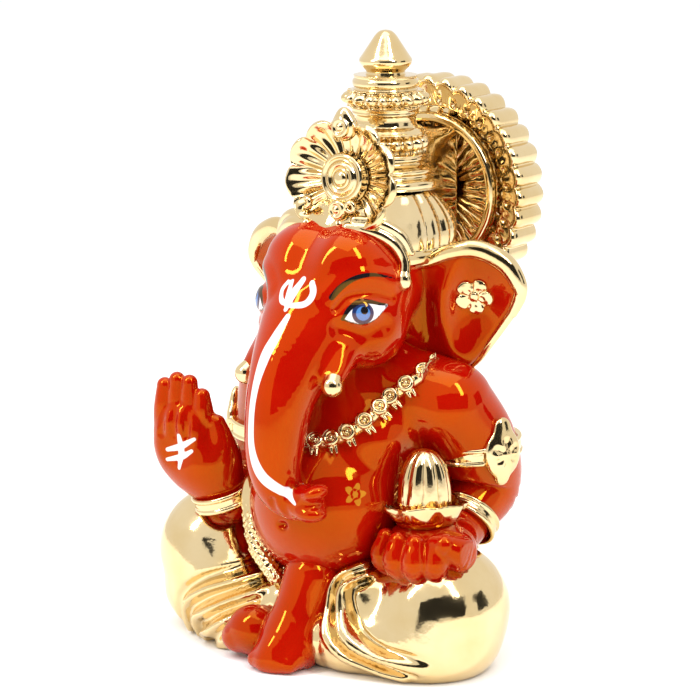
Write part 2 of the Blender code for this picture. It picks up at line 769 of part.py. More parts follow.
def make_ear(name, side, red, *neighbours):
    ear = flat(name, [ear_outline()], EAR_THICKNESS, red, ear_frame(side), bevel=0.5)
    return seat_on(settle(ear), *neighbours)


def make_ear_trim(name, side, gold, *neighbours):
    frame = ear_frame(side)
    middle = Vector((EAR_LENGTH * 0.35, 0, 0))
    edge = []
    for x, y in ear_outline()[:9]:  # from its root to below its tip
        out = (Vector((x, y, 0)) - middle).normalized()
        edge.append(frame @ (Vector((x, y, 0)) + out * EAR_TRIM_RADIUS * 0.55))
    trim = tube(name, edge, EAR_TRIM_RADIUS, gold, steps=2, taper=0.45)
    return seat_on(trim, *neighbours)


def make_ear_flower(name, side, gold, ear):
    face = ear_frame(side) @ Vector((EAR_LENGTH * 0.51, EAR_HEIGHT * 0.07, 0))
    towards = ear_frame(side).to_3x3() @ Vector((0, 0, side))
    spin = towards.to_track_quat("Z", "Y").to_matrix().to_4x4()
    place = Matrix.Translation(face + towards * EAR_THICKNESS * 0.5) @ spin
    flower = flat(name, [scalloped(FLOWER_RADIUS, FLOWER_PETALS, 0.9, 6)], 2 * BED, gold, place)
    return seat_on(flower, ear)


# ---- Crown ----
def make_crown_cap(gold, room, *neighbours):
    clay = bmesh.new()
    put_ball(clay, (0, CROWN_AXIS_Y - 4.5, HEAD.z + 5.5), (HEAD_RADIUS, HEAD_RADIUS + 0.4, HEAD_RADIUS - 2.6))
    wide = CROWN_RADIUS + 1.5
    put_ball(clay, (0, CROWN_AXIS_Y, HEAD.z + 6), (wide, wide, CROWN_CAP_HEIGHT - 6.5))
    cap = fuse("crown_cap", clay, gold, 340, rounds=3)
    trim = bmesh.new()
    bmesh.ops.create_cube(trim, size=1, matrix=Matrix.Diagonal((90 * MM, 90 * MM, 30 * MM, 1)))
    mesh = bpy.data.meshes.new("cap_top_cutter")
    trim.to_mesh(mesh)
    trim.free()
    cutter = object_of("cap_top_cutter", mesh, None, "cutters")
    cutter.location.z = (TIERS_FOOT_Z - SEAM + 15) * MM
    cutter.hide_render = True
    cutter.display_type = "WIRE"
    cut(cap, cutter, room)
    return seat_on(cap, *neighbours)


def crown_turned(name, gold, foot, profile):
    """A turned tier standing at a height on the crown's axis."""
    return turned(name, profile, gold, (0, CROWN_AXIS_Y, foot))


def make_crown_tiers(gold):
    """The drum, two beaded rings, collar, plate and finial, one on another."""
    foot = TIERS_FOOT_Z
    wide = CROWN_RADIUS - 0.6
    drum = [(0, DRUM_HEIGHT), (wide * 0.68, DRUM_HEIGHT), (wide * 0.70, DRUM_HEIGHT * 0.72)]
    drum += [(wide * 0.84, DRUM_HEIGHT * 0.64), (wide * 0.88, DRUM_HEIGHT * 0.36)]
    drum += [(wide, DRUM_HEIGHT * 0.26), (wide, 0), (0, 0)]
    tiers = [crown_turned("crown_drum", gold, foot, drum)]
    foot += DRUM_HEIGHT + SEAM
    tiers.append(bead_ring("crown_lower_ring", gold, foot, RING_RADIUS, RING_THICKNESS * 1.15))
    foot += RING_THICKNESS * 1.15 + SEAM
    neck = COLLAR_RADIUS
    waist = (neck * 0.93, COLLAR_HEIGHT * 0.5)
    collar = [(0, COLLAR_HEIGHT), (neck, COLLAR_HEIGHT), waist, (neck * 1.12, 0.6)]
    tiers.append(crown_turned("crown_collar", gold, foot, collar + [(neck * 1.18, 0), (0, 0)]))
    foot += COLLAR_HEIGHT + SEAM
    tiers.append(bead_ring("crown_upper_ring", gold, foot, RING_RADIUS, RING_THICKNESS))
    foot += RING_THICKNESS + SEAM
    plate = [(0, PLATE_HEIGHT), (neck * 0.96, PLATE_HEIGHT), (neck, PLATE_HEIGHT * 0.8)]
    plate += [(neck, PLATE_HEIGHT * 0.55), (neck * 0.92, 0), (0, 0)]
    tiers.append(crown_turned("crown_plate", gold, foot, plate))
    foot += PLATE_HEIGHT + SEAM
    tall, belly = FINIAL_HEIGHT, FINIAL_RADIUS
    finial = [(0, tall), (belly * 0.2, tall * 0.985), (belly * 0.42, tall * 0.9), (belly * 0.93, tall * 0.4)]
    finial += [(belly, tall * 0.3), (belly * 0.9, tall * 0.2), (belly * 0.72, 0), (0, 0)]
    tiers.append(crown_turned("crown_finial", gold, foot, finial))
    return tiers


def bead_ring(name, gold, foot, radius, thickness):
    place = (0, CROWN_AXIS_Y, foot + thickness / 2)
    ring = flat(name, [scalloped(radius, RING_BEADS, 0.55, 3)], thickness, gold, place, bevel=thickness * 0.3)
    return settle(ring)


def rosette_frame():
    place = (0, HEAD.y - 1.2, HEAD.z + 15.6)
    return facing_front(place, tilt=6)


def make_rosette(gold):
    """A dished flower plaque on the front of the crown."""
    frame = rosette_frame()
    rings = [(0.0, 0.0), (0.35, 0.0), (0.62, 0.25), (0.86, 0.75), (1.0, 1.0)]
    outline = scalloped(1.0, ROSETTE_PETALS, 0.12, 4)
    plaque = bmesh.new()
    centre = plaque.verts.new((0, 0, 0))
    loops = []
    for share, rise in rings[1:]:
        mix = share**2
        loop = []
        for i, (x, y) in enumerate(outline):
            turn = 2 * math.pi * i / len(outline)
            x, y = x * mix + math.cos(turn) * (1 - mix), y * mix + math.sin(turn) * (1 - mix)
            wide = share * ROSETTE_RADIUS * MM
            loop.append(plaque.verts.new((wide * x, wide * y, rise * ROSETTE_DISH * MM)))
        loops.append(loop)
    count = len(outline)
    for i in range(count):
        plaque.faces.new((centre, loops[0][i], loops[0][(i + 1) % count]))
    for inner, outer in zip(loops, loops[1:]):
        for i in range(count):
            j = (i + 1) % count
            plaque.faces.new((inner[i], outer[i], outer[j], inner[j]))
    mesh = bpy.data.meshes.new("rosette")
    plaque.to_mesh(mesh)
    plaque.free()
    rosette = object_of("crown_rosette", mesh, gold)
    thicken = rosette.modifiers.new("wall", "SOLIDIFY")
    thicken.thickness = ROSETTE_WALL * MM
    thicken.offset = -1
    rosette.matrix_world = placed(frame)
    settle(rosette)
    shade(rosette)
    return rosette


def make_rosette_room():
    """A cutter: the room that the rosette needs, and all that is in front of it."""
    wide = ROSETTE_RADIUS + SEAM + 0.4
    behind = -ROSETTE_WALL - SEAM
    profile = [(0, 20), (wide, 20), (wide, behind + ROSETTE_DISH), (wide * 0.86, behind + ROSETTE_DISH * 0.7)]
    profile += [(wide * 0.5, behind), (0, behind)]
    room = turned("rosette_room_cutter", profile, None, rosette_frame(), layer="cutters")
    room.hide_render = True
    room.display_type = "WIRE"
    return room


def make_boss(gold):
    """Raised rings round a stone in the middle of the rosette."""
    wide = BOSS_RADIUS
    profile = [(0, 2.0), (wide * 0.25, 1.9), (wide * 0.4, 1.3), (wide * 0.5, 1.2), (wide * 0.62, 1.6)]
    profile += [(wide * 0.78, 1.2), (wide * 0.9, 1.3), (wide, 0.9), (wide, -0.5), (0, -0.5)]
    place = rosette_frame() @ Matrix.Translation((0, 0, SEAM + 0.6))
    return turned("rosette_boss", profile, gold, place, steps=20)


def make_rosette_crest(gold, rosette, *neighbours):
    """The pointed petal that crowns the rosette."""
    clay = bmesh.new()
    top = rosette_frame() @ Vector((0, ROSETTE_RADIUS - 0.6, ROSETTE_DISH - 0.6))
    put_ball(clay, top, (2.2, 1.5, 2.4))
    put_ball(clay, top + Vector((0, -0.2, 1.5)), (1.2, 1.1, 1.5))
    crest = fuse("rosette_crest", clay, gold, 110, grain=0.5, rounds=2)
    return seat_on(crest, rosette, *neighbours)


def make_pendant(gold, *neighbours):
    """Beads that hang under the rosette, on the brow."""
    clay = bmesh.new()
    bead = PENDANT_BEAD_RADIUS
    spot = rosette_frame() @ Vector((0, -BOSS_RADIUS - bead * 1.1, 2.6))
    put_ball(clay, spot, (bead, bead, bead * 1.15))
    put_limb(clay, [spot, spot + Vector((0, 0.2, -bead * 2.2))], [bead * 0.8, bead * 0.8])
    put_ball(clay, spot + Vector((0, 0.2, -bead * 2.6)), (bead * 0.9,) * 3)
    for side in (-1, 1):
        put_ball(clay, spot + Vector((side * bead * 1.5, 0.2, 0.5)), (bead * 0.7,) * 3)
    pendant = fuse("rosette_pendant", clay, gold, 200, grain=0.4, rounds=1)
    return seat_on(pendant, *neighbours)


def make_crown_drop(name, side, gold, room, *neighbours):
    """A curl of the crown's brow band that falls in front of the ear."""
    clay = bmesh.new()
    at = HEAD + Vector((side * (HEAD_RADIUS - 2.2), 0, 0))
    put_limb(
        clay,
        [
            at + Vector((-side * 6.4, -5.4, 8.8)),
            at + Vector((-side * 2.8, -3.8, 8.4)),
            at + Vector((side * 0.4, -1.6, 6.4)),
            at + Vector((side * 2.0, -0.4, 3.4)),
            at + Vector((side * 2.4, -1.0, 0.6)),
        ],
        [DROP_RADIUS * 0.9, DROP_RADIUS, DROP_RADIUS, DROP_RADIUS * 0.9, DROP_RADIUS * 1.15],
    )
    drop = fuse(name, clay, gold, 150, grain=0.5, rounds=1)
    cut(drop, room)
    return seat_on(drop, *neighbours)


# ---- Halo ----
def make_web(gold, *neighbours):
    """The rib behind the crown that carries the halo."""
    front = CROWN_AXIS_Y + 1.0
    back = HALO.y + HALO_THICKNESS - PANEL_THICKNESS - SEAM
    low, high = HALO.z - 8.5, HALO.z + 11.0
    half = WEB_WIDTH / 2
    outline = [(-half * 0.75, low + 2), (-half * 0.4, low), (half * 0.4, low), (half * 0.75, low + 2)]
    outline += [(half * 0.85, (low + high) / 2), (half * 0.5, high - 1), (half * 0.25, high)]
    outline += [(-half * 0.25, high), (-half * 0.5, high - 1), (-half * 0.85, (low + high) / 2)]
    place = facing_front((0, (front + back) / 2, 0))
    web = flat("halo_web", [outline], back - front, gold, place)
    return seat_on(settle(web), *neighbours)


def make_halo(gold, *neighbours):
    """A fluted ring, a groove, a smooth arch that stands forward, and a panel behind the crown."""
    middle = HALO_THICKNESS / 2
    behind = HALO + Vector((0, middle, 0))
    frame = facing_front(behind)
    inner = HALO_RADIUS - HALO_RING_WIDTH
    pieces = []
    ring = flat(
        "halo_ring",
        [scalloped(HALO_RADIUS, HALO_FLUTES, 0.75, 3), circle(inner, 36)],
        HALO_THICKNESS,
        gold,
        frame,
    )
    pieces.append(settle(ring))
    back = facing_front(HALO + Vector((0, HALO_THICKNESS, 0)))
    panel_out = inner - SEAM
    profile = [(0, PANEL_THICKNESS), (panel_out, PANEL_THICKNESS), (panel_out, 0), (0, 0)]
    pieces.append(turned("halo_panel", profile, gold, back, steps=36))
    arch_out = inner - HALO_GROOVE
    arch_in = arch_out - ARCH_WIDTH
    foot = PANEL_THICKNESS + SEAM
    profile = [(arch_in, ARCH_DEPTH), (arch_out - 0.3, ARCH_DEPTH), (arch_out, ARCH_DEPTH - 0.4)]
    profile += [(arch_out, foot), (arch_in, foot)]
    pieces.append(turned("halo_arch", profile, gold, back, steps=36))
    for piece in pieces:
        seat_on(piece, *neighbours)
    return pieces


def main():
    for old in list(bpy.data.objects):
        bpy.data.objects.remove(old)
    LAYERS["parts"] = collection_named("seated_idol")
    LAYERS["cutters"] = collection_named("cutters")
    red = finish_named("red_glaze", (0.62, 0.04, 0.01), 0.08, 0.0)
    gold = finish_named("gold_plate", (0.83, 0.62, 0.25), 0.12, 1.0)

    floor = floor_cutter()
    seat = make_seat(gold, floor)
    legs = make_legs(gold, floor, seat)
    front_foot, tucked_foot = make_feet(red, floor, seat, legs)
    pleats = make_pleats(gold, floor, seat, legs["left"], legs["right"], front_foot, tucked_foot)
    torso = make_torso(red, seat, legs["left"], legs["right"], front_foot, pleats)
    lower = [seat, legs["left"], legs["right"]]
    sash = make_sash(gold, torso, front_foot, *lower)
    necklace = make_necklace(gold, torso)

    left_arm = make_arm("left_arm", 1, red, torso, *lower)
    right_arm = make_arm("right_arm", -1, red, torso, sash, *lower)
    make_armlet("left_armlet", 1, gold, left_arm, torso)
    make_armlet("right_armlet", -1, gold, right_arm, torso)
    bowl = make_bowl(gold)
    seat_on(bowl, torso)
    make_sweet(gold, bowl)
    left_hand = make_left_hand(red, bowl, left_arm, torso, *lower)
    _, _, elbow, wrist = arm_places(1)
    cuff = wrist + Vector((0, 0.4, 0))
    make_bracelet("left_bracelet", cuff, wrist - elbow, gold, left_arm, left_hand, bowl, torso, *lower)
    right_hand = make_right_hand(red, right_arm, torso, *lower)
    hand_wrist, palm = right_hand_places()
    cuff = hand_wrist + Vector((0, -0.3, 0.2))
    make_bracelet("right_bracelet", cuff, palm - hand_wrist, gold, right_arm, right_hand, torso, *lower)

    rosette = make_rosette(gold)
    room = make_rosette_room()
    boss = make_boss(gold)
    head = make_head(red, room, torso, necklace)
    for name, side in (("left", 1), ("right", -1)):
        make_tusk(name + "_tusk", side, gold, head)
    cap = make_crown_cap(gold, room, head)
    tiers = make_crown_tiers(gold)
    web = make_web(gold, head, cap, *tiers)
    halo = make_halo(gold, head, cap, web, torso, *tiers)
    drops = []
    for name, side in (("left", 1), ("right", -1)):
        drop = make_crown_drop(name + "_crown_drop", side, gold, room, head, cap)
        around = (head, torso, necklace, cap, drop, left_arm if side > 0 else right_arm, *halo)
        ear = make_ear(name + "_ear", side, red, *around)
        make_ear_trim(name + "_ear_trim", side, gold, ear, *around)
        make_ear_flower(name + "_ear_flower", side, gold, ear)
        drops.append(drop)
    make_rosette_crest(gold, rosette, *tiers)
    make_pendant(gold, rosette, boss, head, cap, *drops)


main()
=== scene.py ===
import math

import bpy
import numpy as np
import openvdb
from mathutils import Matrix, Vector


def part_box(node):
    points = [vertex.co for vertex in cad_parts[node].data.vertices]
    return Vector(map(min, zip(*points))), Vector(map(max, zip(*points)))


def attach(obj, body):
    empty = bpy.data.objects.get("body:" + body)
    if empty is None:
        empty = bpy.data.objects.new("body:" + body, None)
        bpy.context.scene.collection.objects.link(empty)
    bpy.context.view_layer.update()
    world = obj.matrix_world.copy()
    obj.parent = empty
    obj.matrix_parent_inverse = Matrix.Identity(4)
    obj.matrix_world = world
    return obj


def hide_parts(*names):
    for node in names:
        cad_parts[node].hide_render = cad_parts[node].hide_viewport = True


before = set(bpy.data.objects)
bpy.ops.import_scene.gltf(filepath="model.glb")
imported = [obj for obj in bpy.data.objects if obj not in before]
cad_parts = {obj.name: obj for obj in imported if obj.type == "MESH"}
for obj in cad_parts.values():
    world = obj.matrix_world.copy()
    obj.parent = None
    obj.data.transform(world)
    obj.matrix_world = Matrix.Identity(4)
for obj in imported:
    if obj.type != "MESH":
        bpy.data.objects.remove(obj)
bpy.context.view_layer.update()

# All the making is in millimetres. The scene is in metres.
MM = 0.001
DENSITY = 1.0


def corners(node):
    low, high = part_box(node)
    return np.array(low) / MM, np.array(high) / MM


def middle(node):
    low, high = corners(node)
    return (low + high) / 2


def half_width(node):
    low, high = corners(node)
    return (high[0] - low[0]) / 2


def spot(*values):
    return np.array(values, float)


def near(place, *offsets):
    """Several places, each given by how far it is from this one."""
    return [place + spot(*offset) for offset in offsets]


# ---- Places, from the frame ----
_, HEAD_HIGH = corners("head_and_trunk")
HEAD = spot(0, HEAD_HIGH[1] - 13.4, HEAD_HIGH[2] - 9.6)
TORSO_LOW, TORSO_HIGH = corners("torso")
BELLY = spot(0, TORSO_LOW[1] + 12.5, TORSO_HIGH[2] - 29.0)
CHEST = BELLY + spot(0, 7.5, 12)
NECK = CHEST + spot(0, 0.5, 10.5)
SEAT = middle("seat_wrap") * spot(1, 1, 0)
LEFT_KNEE = spot(corners("left_leg_wrap")[1][0] - 10.0, BELLY[1] + 2, 9.7)
RIGHT_LOW, RIGHT_HIGH = corners("right_leg_wrap")
RIGHT_KNEE = spot(RIGHT_LOW[0] + 9.9, BELLY[1] + 2, RIGHT_HIGH[2] - 10.2)
CROWN_AXIS = spot(0, middle("crown_drum")[1], 0)
HALO = middle("halo_ring")
HALO_RADIUS = half_width("halo_ring")
BOWL = middle("sweet_bowl")


# ---- Shapes as distances: negative inside, in millimetres ----
def dot(a, b):
    return np.einsum("ij,ij->i", a, b)


def length(rows):
    return np.sqrt(dot(rows, rows))


def unit(way):
    return np.array(way, float) / np.linalg.norm(way)


def across(turn):
    """A level way, turned from X by this angle."""
    return spot(math.cos(turn), math.sin(turn), 0)


def ahead(turn):
    """The level way to the front, turned by this angle."""
    return spot(math.sin(turn), -math.cos(turn), 0)


def ball(p, centre, radii, turn=None):
    """A ball stretched to three radii. The turn is in degrees about X, Y and Z."""
    q = p - centre
    if turn is not None:
        q = q @ turned_axes(turn)
    share = q / np.array(radii)
    out = length(share)
    return out * (out - 1) / (length(share / np.array(radii)) + 1e-9)


def turned_axes(turn):
    x, y, z = (math.radians(angle) for angle in turn)
    spin = Matrix.Rotation(z, 3, "Z") @ Matrix.Rotation(y, 3, "Y") @ Matrix.Rotation(x, 3, "X")
    return np.array(spin)


def join(a, b, soft):
    """Both shapes, with a fillet of about this size where they meet."""
    blend = np.maximum(soft - np.abs(a - b), 0) / soft
    return np.minimum(a, b) - blend * blend * soft / 4


def carve(a, b, soft):
    """The first shape without the second."""
    return -join(-a, b, soft)


def on_curve(knots, along):
    """Places and slopes on a smooth curve through the knots."""
    ends = np.vstack([2 * knots[0] - knots[1], knots, 2 * knots[-1] - knots[-2]])
    along = np.clip(along, 0, len(knots) - 1.0001)
    first = along.astype(int)
    t = (along - first)[:, None]
    a, b, c, d = (ends[first + i] for i in range(4))
    bend, twist = 2 * a - 5 * b + 4 * c - d, 3 * b - a - 3 * c + d
    place = 0.5 * (2 * b + (c - a) * t + bend * t**2 + twist * t**3)
    slope = 0.5 * ((c - a) + 2 * bend * t + 3 * twist * t**2)
    return place, slope


def follow(p, knots, steps=6):
    """How far along the curve each point is, found from samples and then refined."""
    count = (len(knots) - 1) * steps
    samples, _ = on_curve(knots, np.linspace(0, len(knots) - 1, count + 1))
    nearest = np.full(len(p), 1e9)
    along = np.zeros(len(p))
    for i, sample in enumerate(samples):
        gap = p - sample[:3]
        far = dot(gap, gap)
        closer = far < nearest
        nearest[closer] = far[closer]
        along[closer] = i / steps
    for _ in range(2):
        place, slope = on_curve(knots, along)
        way = slope[:, :3]
        step = dot(p - place[:, :3], way) / (dot(way, way) + 1e-9)
        along = np.clip(along + step, 0, len(knots) - 1)
    return along


def limb(p, points, radii):
    """A round limb of changing thickness along a smooth curve."""
    knots = np.array([[*point, radius] for point, radius in zip(points, radii)], float)
    place, _ = on_curve(knots, follow(p, knots))
    return length(p - place[:, :3]) - place[:, 3]


def crest(p, points, width):
    """1 on a curve, falling smoothly to 0 at this distance from it."""
    knots = np.array([[*point, 0] for point in points], float)
    place, _ = on_curve(knots, follow(p, knots, 4))
    share = np.clip(length(p - place[:, :3]) / width, 0, 1)
    return (1 - share**2) ** 2


def hoop(p, centre, way, radius, thick, tall):
    """A ring about a line: its bar is this thick outwards and this tall along the line."""
    way = unit(way)
    q = p - centre
    height = q @ way
    out = length(q - height[:, None] * way) - radius
    share = np.stack([out / thick, height / tall], 1)
    size = length(share)
    return size * (size - 1) / (length(share / np.array([thick, tall])) + 1e-9)


def mirrored(p):
    q = p.copy()
    q[:, 0] = np.abs(q[:, 0])
    return q


BLOCK = 6  # cells along a side of a block
REACH = 1.45  # blocks nearer the surface than this many of their sides are filled in
BATCH = 200000  # cells worked out at a time


def sculpt(name, field, low, high, step):
    """The surface where the field is zero: found in small blocks near it, then drawn onto it."""
    step *= DENSITY
    low = np.array(low, float) - 2 * step
    blocks = np.ceil((np.array(high, float) - low + 2 * step) / (step * BLOCK)).astype(int)
    index = np.indices(blocks).reshape(3, -1).T
    centres = low + (index * BLOCK + (BLOCK - 1) / 2) * step
    coarse = field(centres)
    grid = np.where(coarse < 0, -step, step).astype(np.float32).reshape(blocks)
    for axis in range(3):
        grid = np.repeat(grid, BLOCK, axis)
    close = index[np.abs(coarse) < step * BLOCK * REACH]
    inside = np.indices((BLOCK,) * 3).reshape(3, -1).T
    cells = (close[:, None, :] * BLOCK + inside[None]).reshape(-1, 3)
    parts = np.array_split(cells, len(cells) // BATCH + 1)
    values = np.concatenate([field(low + part * step) for part in parts])
    grid[cells[:, 0], cells[:, 1], cells[:, 2]] = values
    volume = openvdb.FloatGrid(step)
    volume.copyFromArray(grid)
    points, quads = volume.convertToQuads(0.0)
    points = low + np.array(points, float) * step
    for _ in range(3):
        value = field(points)
        slope = slope_of(field, points)
        move = -value[:, None] * slope / (dot(slope, slope)[:, None] + 1e-6)
        size = length(move)
        points += move * np.minimum(1, 0.4 * step / (size + 1e-9))[:, None]
    return mesh_piece(name, points, np.array(quads, int))


def slope_of(field, points, reach=0.04):
    return np.stack(
        [(field(points + step) - field(points - step)) / (2 * reach) for step in np.eye(3) * reach], axis=1
    )


def mesh_piece(name, points, faces):
    """A smooth-shaded object from points in millimetres, its faces turned outwards."""
    mesh = bpy.data.meshes.new(name)
    mesh.vertices.add(len(points))
    mesh.vertices.foreach_set("co", (np.array(points) * MM).ravel())
    sides = faces.shape[1]
    a, b, c = (points[faces[:, i]] for i in range(3))
    volume = dot(a, np.cross(b, c)).sum()
    if sides == 4:
        volume += dot(a, np.cross(c, points[faces[:, 3]])).sum()
    if volume < 0:
        faces = faces[:, ::-1]
    mesh.loops.add(faces.size)
    mesh.loops.foreach_set("vertex_index", faces.ravel())
    mesh.polygons.add(len(faces))
    mesh.polygons.foreach_set("loop_start", np.arange(len(faces)) * sides)
    mesh.update(calc_edges=True)
    mesh.shade_smooth()
    return placed(name, mesh)


def placed(name, data):
    """A new object in the scene."""
    piece = bpy.data.objects.new(name, data)
    bpy.context.scene.collection.objects.link(piece)
    return piece


def points_of(piece):
    flat = np.empty(len(piece.data.vertices) * 3)
    piece.data.vertices.foreach_get("co", flat)
    return flat.reshape(-1, 3) / MM


OUTSIDE = -5  # a value of paint that is well off its mark


def paint(piece, name, values):
    """A painted mark, as how far inside its edge each point is, in millimetres."""
    layer = piece.data.attributes.new(name, "FLOAT", "POINT")
    layer.data.foreach_set("value", np.clip(values, -1, 1).astype(np.float32))


def lathe(name, profile, place, count, swell=None, closed=False, smooth=6):
    """A turned shape. The profile gives radius and height, and swell moves each point by its angle."""
    knots = np.array([[r, h, 0, 0] for r, h in profile], float)
    if closed:
        knots = np.vstack([knots, knots[:1]])
    samples, _ = on_curve(knots, np.linspace(0, len(knots) - 1, (len(knots) - 1) * smooth + 1))
    if closed:
        samples = samples[:-1]
    radius, height = samples[:, 0], samples[:, 1]
    along = np.linspace(0, 1, len(samples))
    angle = 2 * math.pi * np.arange(count) / count
    radius, turn = np.meshgrid(radius, angle, indexing="ij")
    height, _ = np.meshgrid(height, angle, indexing="ij")
    share, _ = np.meshgrid(along, angle, indexing="ij")
    if swell:
        radius, height = swell(radius, height, turn, share)
    local = np.stack([radius * np.cos(turn), radius * np.sin(turn), height], axis=-1).reshape(-1, 3)
    rows = len(samples)
    i, j = np.meshgrid(np.arange(rows if closed else rows - 1), np.arange(count), indexing="ij")
    i2, j2 = (i + 1) % rows, (j + 1) % count
    row, next_row = i * count, i2 * count
    faces = np.stack([row + j, row + j2, next_row + j2, next_row + j], axis=-1).reshape(-1, 4)
    matrix = np.array(place)
    return mesh_piece(name, local @ matrix[:3, :3].T + matrix[:3, 3], faces)


def scaled(profile, wide, tall=1):
    return [(r * wide, z * tall) for r, z in profile]


def standing(x, y, z):
    return Matrix.Translation((x, y, z))


def facing_front(place, tilt=0.0):
    """A frame whose height looks out of the figure's front, tilted up by so many degrees."""
    return Matrix.Translation(Vector(place)) @ Matrix.Rotation(math.radians(90 - tilt), 4, "X")


def settle(piece, finish, slot, *nodes):
    piece.data.materials.clear()
    piece.data.materials.append(finish)
    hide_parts(*nodes)
    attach(piece, "root")
    return piece


# ---- Finishes ----
def nodes_of(name):
    material = bpy.data.materials.new(name)
    material.use_nodes = True
    return material, material.node_tree.nodes, material.node_tree.links


def noise(nodes, links, scale, detail=2.0):
    place = nodes.new("ShaderNodeTexCoord")
    texture = nodes.new("ShaderNodeTexNoise")
    texture.inputs["Scale"].default_value = scale
    texture.inputs["Detail"].default_value = detail
    links.new(place.outputs["Object"], texture.inputs["Vector"])
    return texture.outputs["Fac"]


def ramp(nodes, links, source, low, high, to_low, to_high):
    stretch = nodes.new("ShaderNodeMapRange")
    stretch.inputs["From Min"].default_value = low
    stretch.inputs["From Max"].default_value = high
    stretch.inputs["To Min"].default_value = to_low
    stretch.inputs["To Max"].default_value = to_high
    links.new(source, stretch.inputs["Value"])
    return stretch.outputs["Result"]


def mixed(nodes, links, share, first, second):
    mix = nodes.new("ShaderNodeMix")
    mix.data_type = "RGBA"
    links.new(share, mix.inputs["Factor"])
    for socket, colour in ((mix.inputs["A"], first), (mix.inputs["B"], second)):
        if isinstance(colour, tuple):
            socket.default_value = (*colour, 1)
        else:
            links.new(colour, socket)
    return mix.outputs["Result"]


def bumped(nodes, links, shader, source, strength, distance):
    bump = nodes.new("ShaderNodeBump")
    bump.inputs["Strength"].default_value = strength
    bump.inputs["Distance"].default_value = distance
    links.new(source, bump.inputs["Height"])
    links.new(bump.outputs["Normal"], shader.inputs["Normal"])


def glaze_finish(name, marks=()):
    """Deep red glaze, wet and glossy, with painted marks over it."""
    material, nodes, links = nodes_of(name)
    shader = nodes["Principled BSDF"]
    cloud = ramp(nodes, links, noise(nodes, links, 90, 3), 0.35, 0.65, 0.0, 1.0)
    colour = mixed(nodes, links, cloud, (0.34, 0.0016, 0.0006), (0.40, 0.0060, 0.0009))
    for mark, tint in marks:
        layer = nodes.new("ShaderNodeAttribute")
        layer.attribute_name = mark
        cover = ramp(nodes, links, layer.outputs["Fac"], -0.05, 0.05, 0.0, 1.0)
        colour = mixed(nodes, links, cover, colour, tint)
    links.new(colour, shader.inputs["Base Color"])
    sheen = ramp(nodes, links, noise(nodes, links, 240), 0.3, 0.7, 0.03, 0.075)
    links.new(sheen, shader.inputs["Roughness"])
    shader.inputs["IOR"].default_value = 1.9
    shader.inputs["Specular Tint"].default_value = (1.0, 0.50, 0.03, 1)
    bumped(nodes, links, shader, noise(nodes, links, 260), 0.10, 0.0004)
    return material


def gold_finish(name):
    """Pale gold plate, bright as a mirror, a little warmer and duller in places."""
    material, nodes, links = nodes_of(name)
    shader = nodes["Principled BSDF"]
    cloud = ramp(nodes, links, noise(nodes, links, 130, 4), 0.35, 0.7, 0.0, 1.0)
    colour = mixed(nodes, links, cloud, (0.82, 0.64, 0.36), (0.76, 0.56, 0.27))
    links.new(colour, shader.inputs["Base Color"])
    shader.inputs["Metallic"].default_value = 1.0
    sheen = ramp(nodes, links, noise(nodes, links, 320), 0.3, 0.75, 0.07, 0.16)
    links.new(sheen, shader.inputs["Roughness"])
    bumped(nodes, links, shader, noise(nodes, links, 380, 3), 0.16, 0.0004)
    return material


WHITE_PAINT = (0.82, 0.80, 0.84)
BLACK_PAINT = (0.008, 0.007, 0.010)
GLAZE = glaze_finish("red_glaze_finish")
BODY = glaze_finish("body_glaze_finish", (("gold_paint", (0.52, 0.19, 0.015)),))
FACE = glaze_finish(
    "painted_glaze_finish",
    (
        ("white_paint", WHITE_PAINT),
        ("navy_paint", (0.012, 0.025, 0.10)),
        ("blue_paint", (0.07, 0.21, 0.52)),
        ("black_paint", BLACK_PAINT),
    ),
)
PALM = glaze_finish("palm_glaze_finish", (("white_paint", WHITE_PAINT),))
GOLD = gold_finish("gold_plate_finish")


def gild(piece, node):
    return settle(piece, GOLD, "gold_plate", node)


# ---- Body ----
LEFT_SHOULDER = CHEST + spot(16.6, 3, 4)
RIGHT_SHOULDER = CHEST + spot(-16.6, 3, 4)
LEFT_BENDS = ((0, 0, 0), (2.6, 4, -7), (2.9, 6, -14), (2.9, 0.5, -18.5))
RIGHT_BENDS = ((0, 0, 0), (-2.8, 1.5, -8), (-3, -1, -16), (-2, -11.5, -17.8))
LEFT_ARM = near(LEFT_SHOULDER, *LEFT_BENDS)
RIGHT_ARM = near(RIGHT_SHOULDER, *RIGHT_BENDS)
LEFT_WRIST, RIGHT_WRIST = LEFT_ARM[3], RIGHT_ARM[3]


def body_field(p):
    field = ball(p, BELLY, (12.8, 12.6, 13.3))
    field = join(field, ball(p, CHEST, (14.5, 11.5, 12)), 5)
    field = join(field, ball(p, SEAT + spot(0, 0, 22), (14.5, 10.5, 13)), 3)
    field = join(field, ball(p, NECK, (9.5, 9.5, 6.7)), 4)
    q = mirrored(p)
    field = join(field, ball(q, CHEST + spot(11.5, 2.5, 5.2), (8.0, 7.8, 7.2)), 3)
    field = join(field, ball(q, CHEST + spot(6.4, -6.6, -0.5), (6.4, 5.0, 5.0)), 3)
    left = limb(p, LEFT_ARM, (7.4, 6.9, 6.0, 4.3))
    right = limb(p, RIGHT_ARM, (7.4, 6.9, 6.0, 4.3))
    field = join(field, np.minimum(left, right), 1.6)
    navel = BELLY + spot(0, -12.6, -1.5)
    field = carve(field, ball(p, navel, (0.8, 1.0, 0.6)), 0.7)
    return field


